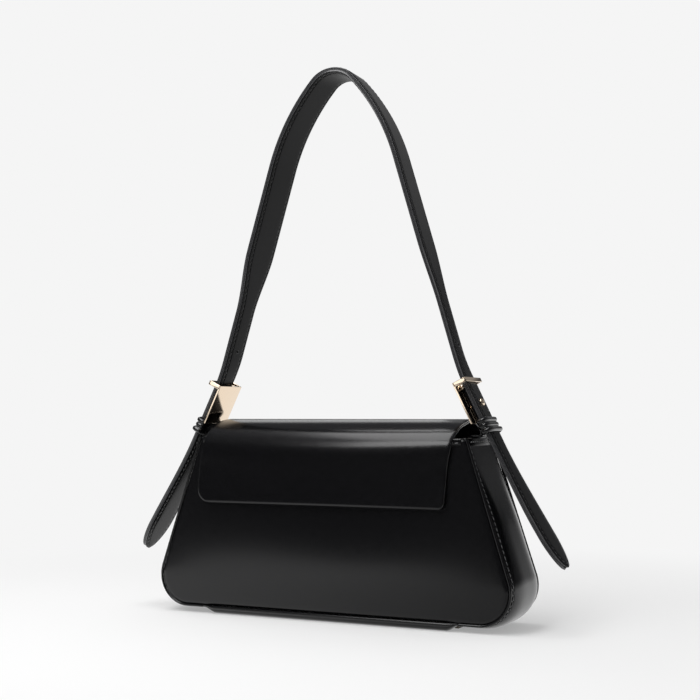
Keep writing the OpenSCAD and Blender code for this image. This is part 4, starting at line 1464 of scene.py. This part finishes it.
def ramp(tree, value, stops):
    """A colour that runs through stops of (value, colour)."""
    made = node(tree, "ShaderNodeValToRGB", in_Fac=value)
    steps = made.color_ramp.elements
    steps[0].position, steps[1].position = stops[0][0], stops[-1][0]
    for place, _ in stops[1:-1]:
        steps.new(place)
    for step, (_, color) in zip(steps, stops):
        step.color = (*color, 1)
    return made.outputs["Color"]


world = bpy.data.worlds.new("studio")
bpy.context.scene.world = world
world.use_nodes = True
tree = world.node_tree
room = tree.nodes["Background"]
room.inputs["Color"].default_value = (1, 1, 1, 1)
room.inputs["Strength"].default_value = 0.45
split = node(tree, "ShaderNodeSeparateXYZ",
             in_Vector=node(tree, "ShaderNodeTexCoord").outputs["Generated"]).outputs
grey = ramp(tree, split["Z"], [(0, (0.045, 0.045, 0.048)), (0.45, (0.055, 0.055, 0.058)),
                               (0.95, (0.2, 0.2, 0.21))])
behind = math_node(tree, "SUBTRACT", 1, ease(tree, split["Y"], 0.3, -0.2))
left_rear = math_node(tree, "MULTIPLY", behind, ease(tree, split["X"], 0.32, -0.02))
sheet = math_node(tree, "MULTIPLY", ease(tree, split["Z"], 0.2, 0.06), left_rear)
skirt = math_node(tree, "MULTIPLY", ease(tree, split["Z"], 0.16, 0, high=0.6), behind)
pane = ramp(tree, split["Z"], [(0.2, [0] * 3), (0.32, [WINDOW] * 3), (0.46, [WINDOW] * 3), (0.6, [0] * 3)])
bright = math_node(tree, "MAXIMUM", sheet, skirt, math_node(tree, "MULTIPLY", pane, behind))
shown = node(tree, "ShaderNodeMix", data_type="RGBA", in_Factor=bright, in_A=grey, in_B=WHITE)
mirrored = node(tree, "ShaderNodeBackground", in_Color=shown.outputs["Result"], in_Strength=1).outputs[0]
white = node(tree, "ShaderNodeBackground", in_Color=WHITE, in_Strength=1).outputs[0]
paths = node(tree, "ShaderNodeLightPath").outputs
inside = choose(tree, paths["Is Glossy Ray"], room.outputs[0], mirrored)
feed(tree, tree.nodes["World Output"].inputs["Surface"], choose(tree, paths["Is Camera Ray"], inside, white))
print("room at", round(room.inputs["Strength"].default_value, 2))

# %% [markdown]
# Three soft lamps draw the form: a wide one overhead for the flap's crest, one in front for the
# panel's swell, and a weak one behind for the edges. Polished metal needs something pale to mirror,
# so a white card stands in front at the left, and light linking shows it to the metal alone.

# %% Lamps
def lamp(name, place, target, size, power):
    """A soft lamp aimed at a point, in metres and watts."""
    data = bpy.data.lights.new(name, "AREA")
    data.shape = "RECTANGLE"
    data.size, data.size_y = size
    data.energy = power
    obj = bpy.data.objects.new(name, data)
    bpy.context.scene.collection.objects.link(obj)
    obj.location = place
    obj.rotation_euler = (Vector(place) - Vector(target)).to_track_quat("Z", "Y").to_euler()
    return obj


lamp("overhead", (-0.24, -0.35, 1.15), (-0.24, -0.35, 0), (0.58, 1.2), 8.7)
lamp("front", (-0.22, -1.07, 0.9), (0, 0, 0.12), (0.7, 0.42), 5)
lamp("rim", (-0.75, 1.25, 0.75), (0, 0, 0.15), (0.6, 0.4), 0.6)
card = lamp("card", (-0.6, -1.2, 0.3), (0, 0, 0.15), (1.1, 0.5), 2.2)
shiny = bpy.data.collections.new("metal fittings")
for obj in bpy.data.objects:
    if obj.type == "MESH" and obj.data.materials and obj.data.materials[0] is GOLD:
        shiny.objects.link(obj)
card.light_linking.receiver_collection = shiny
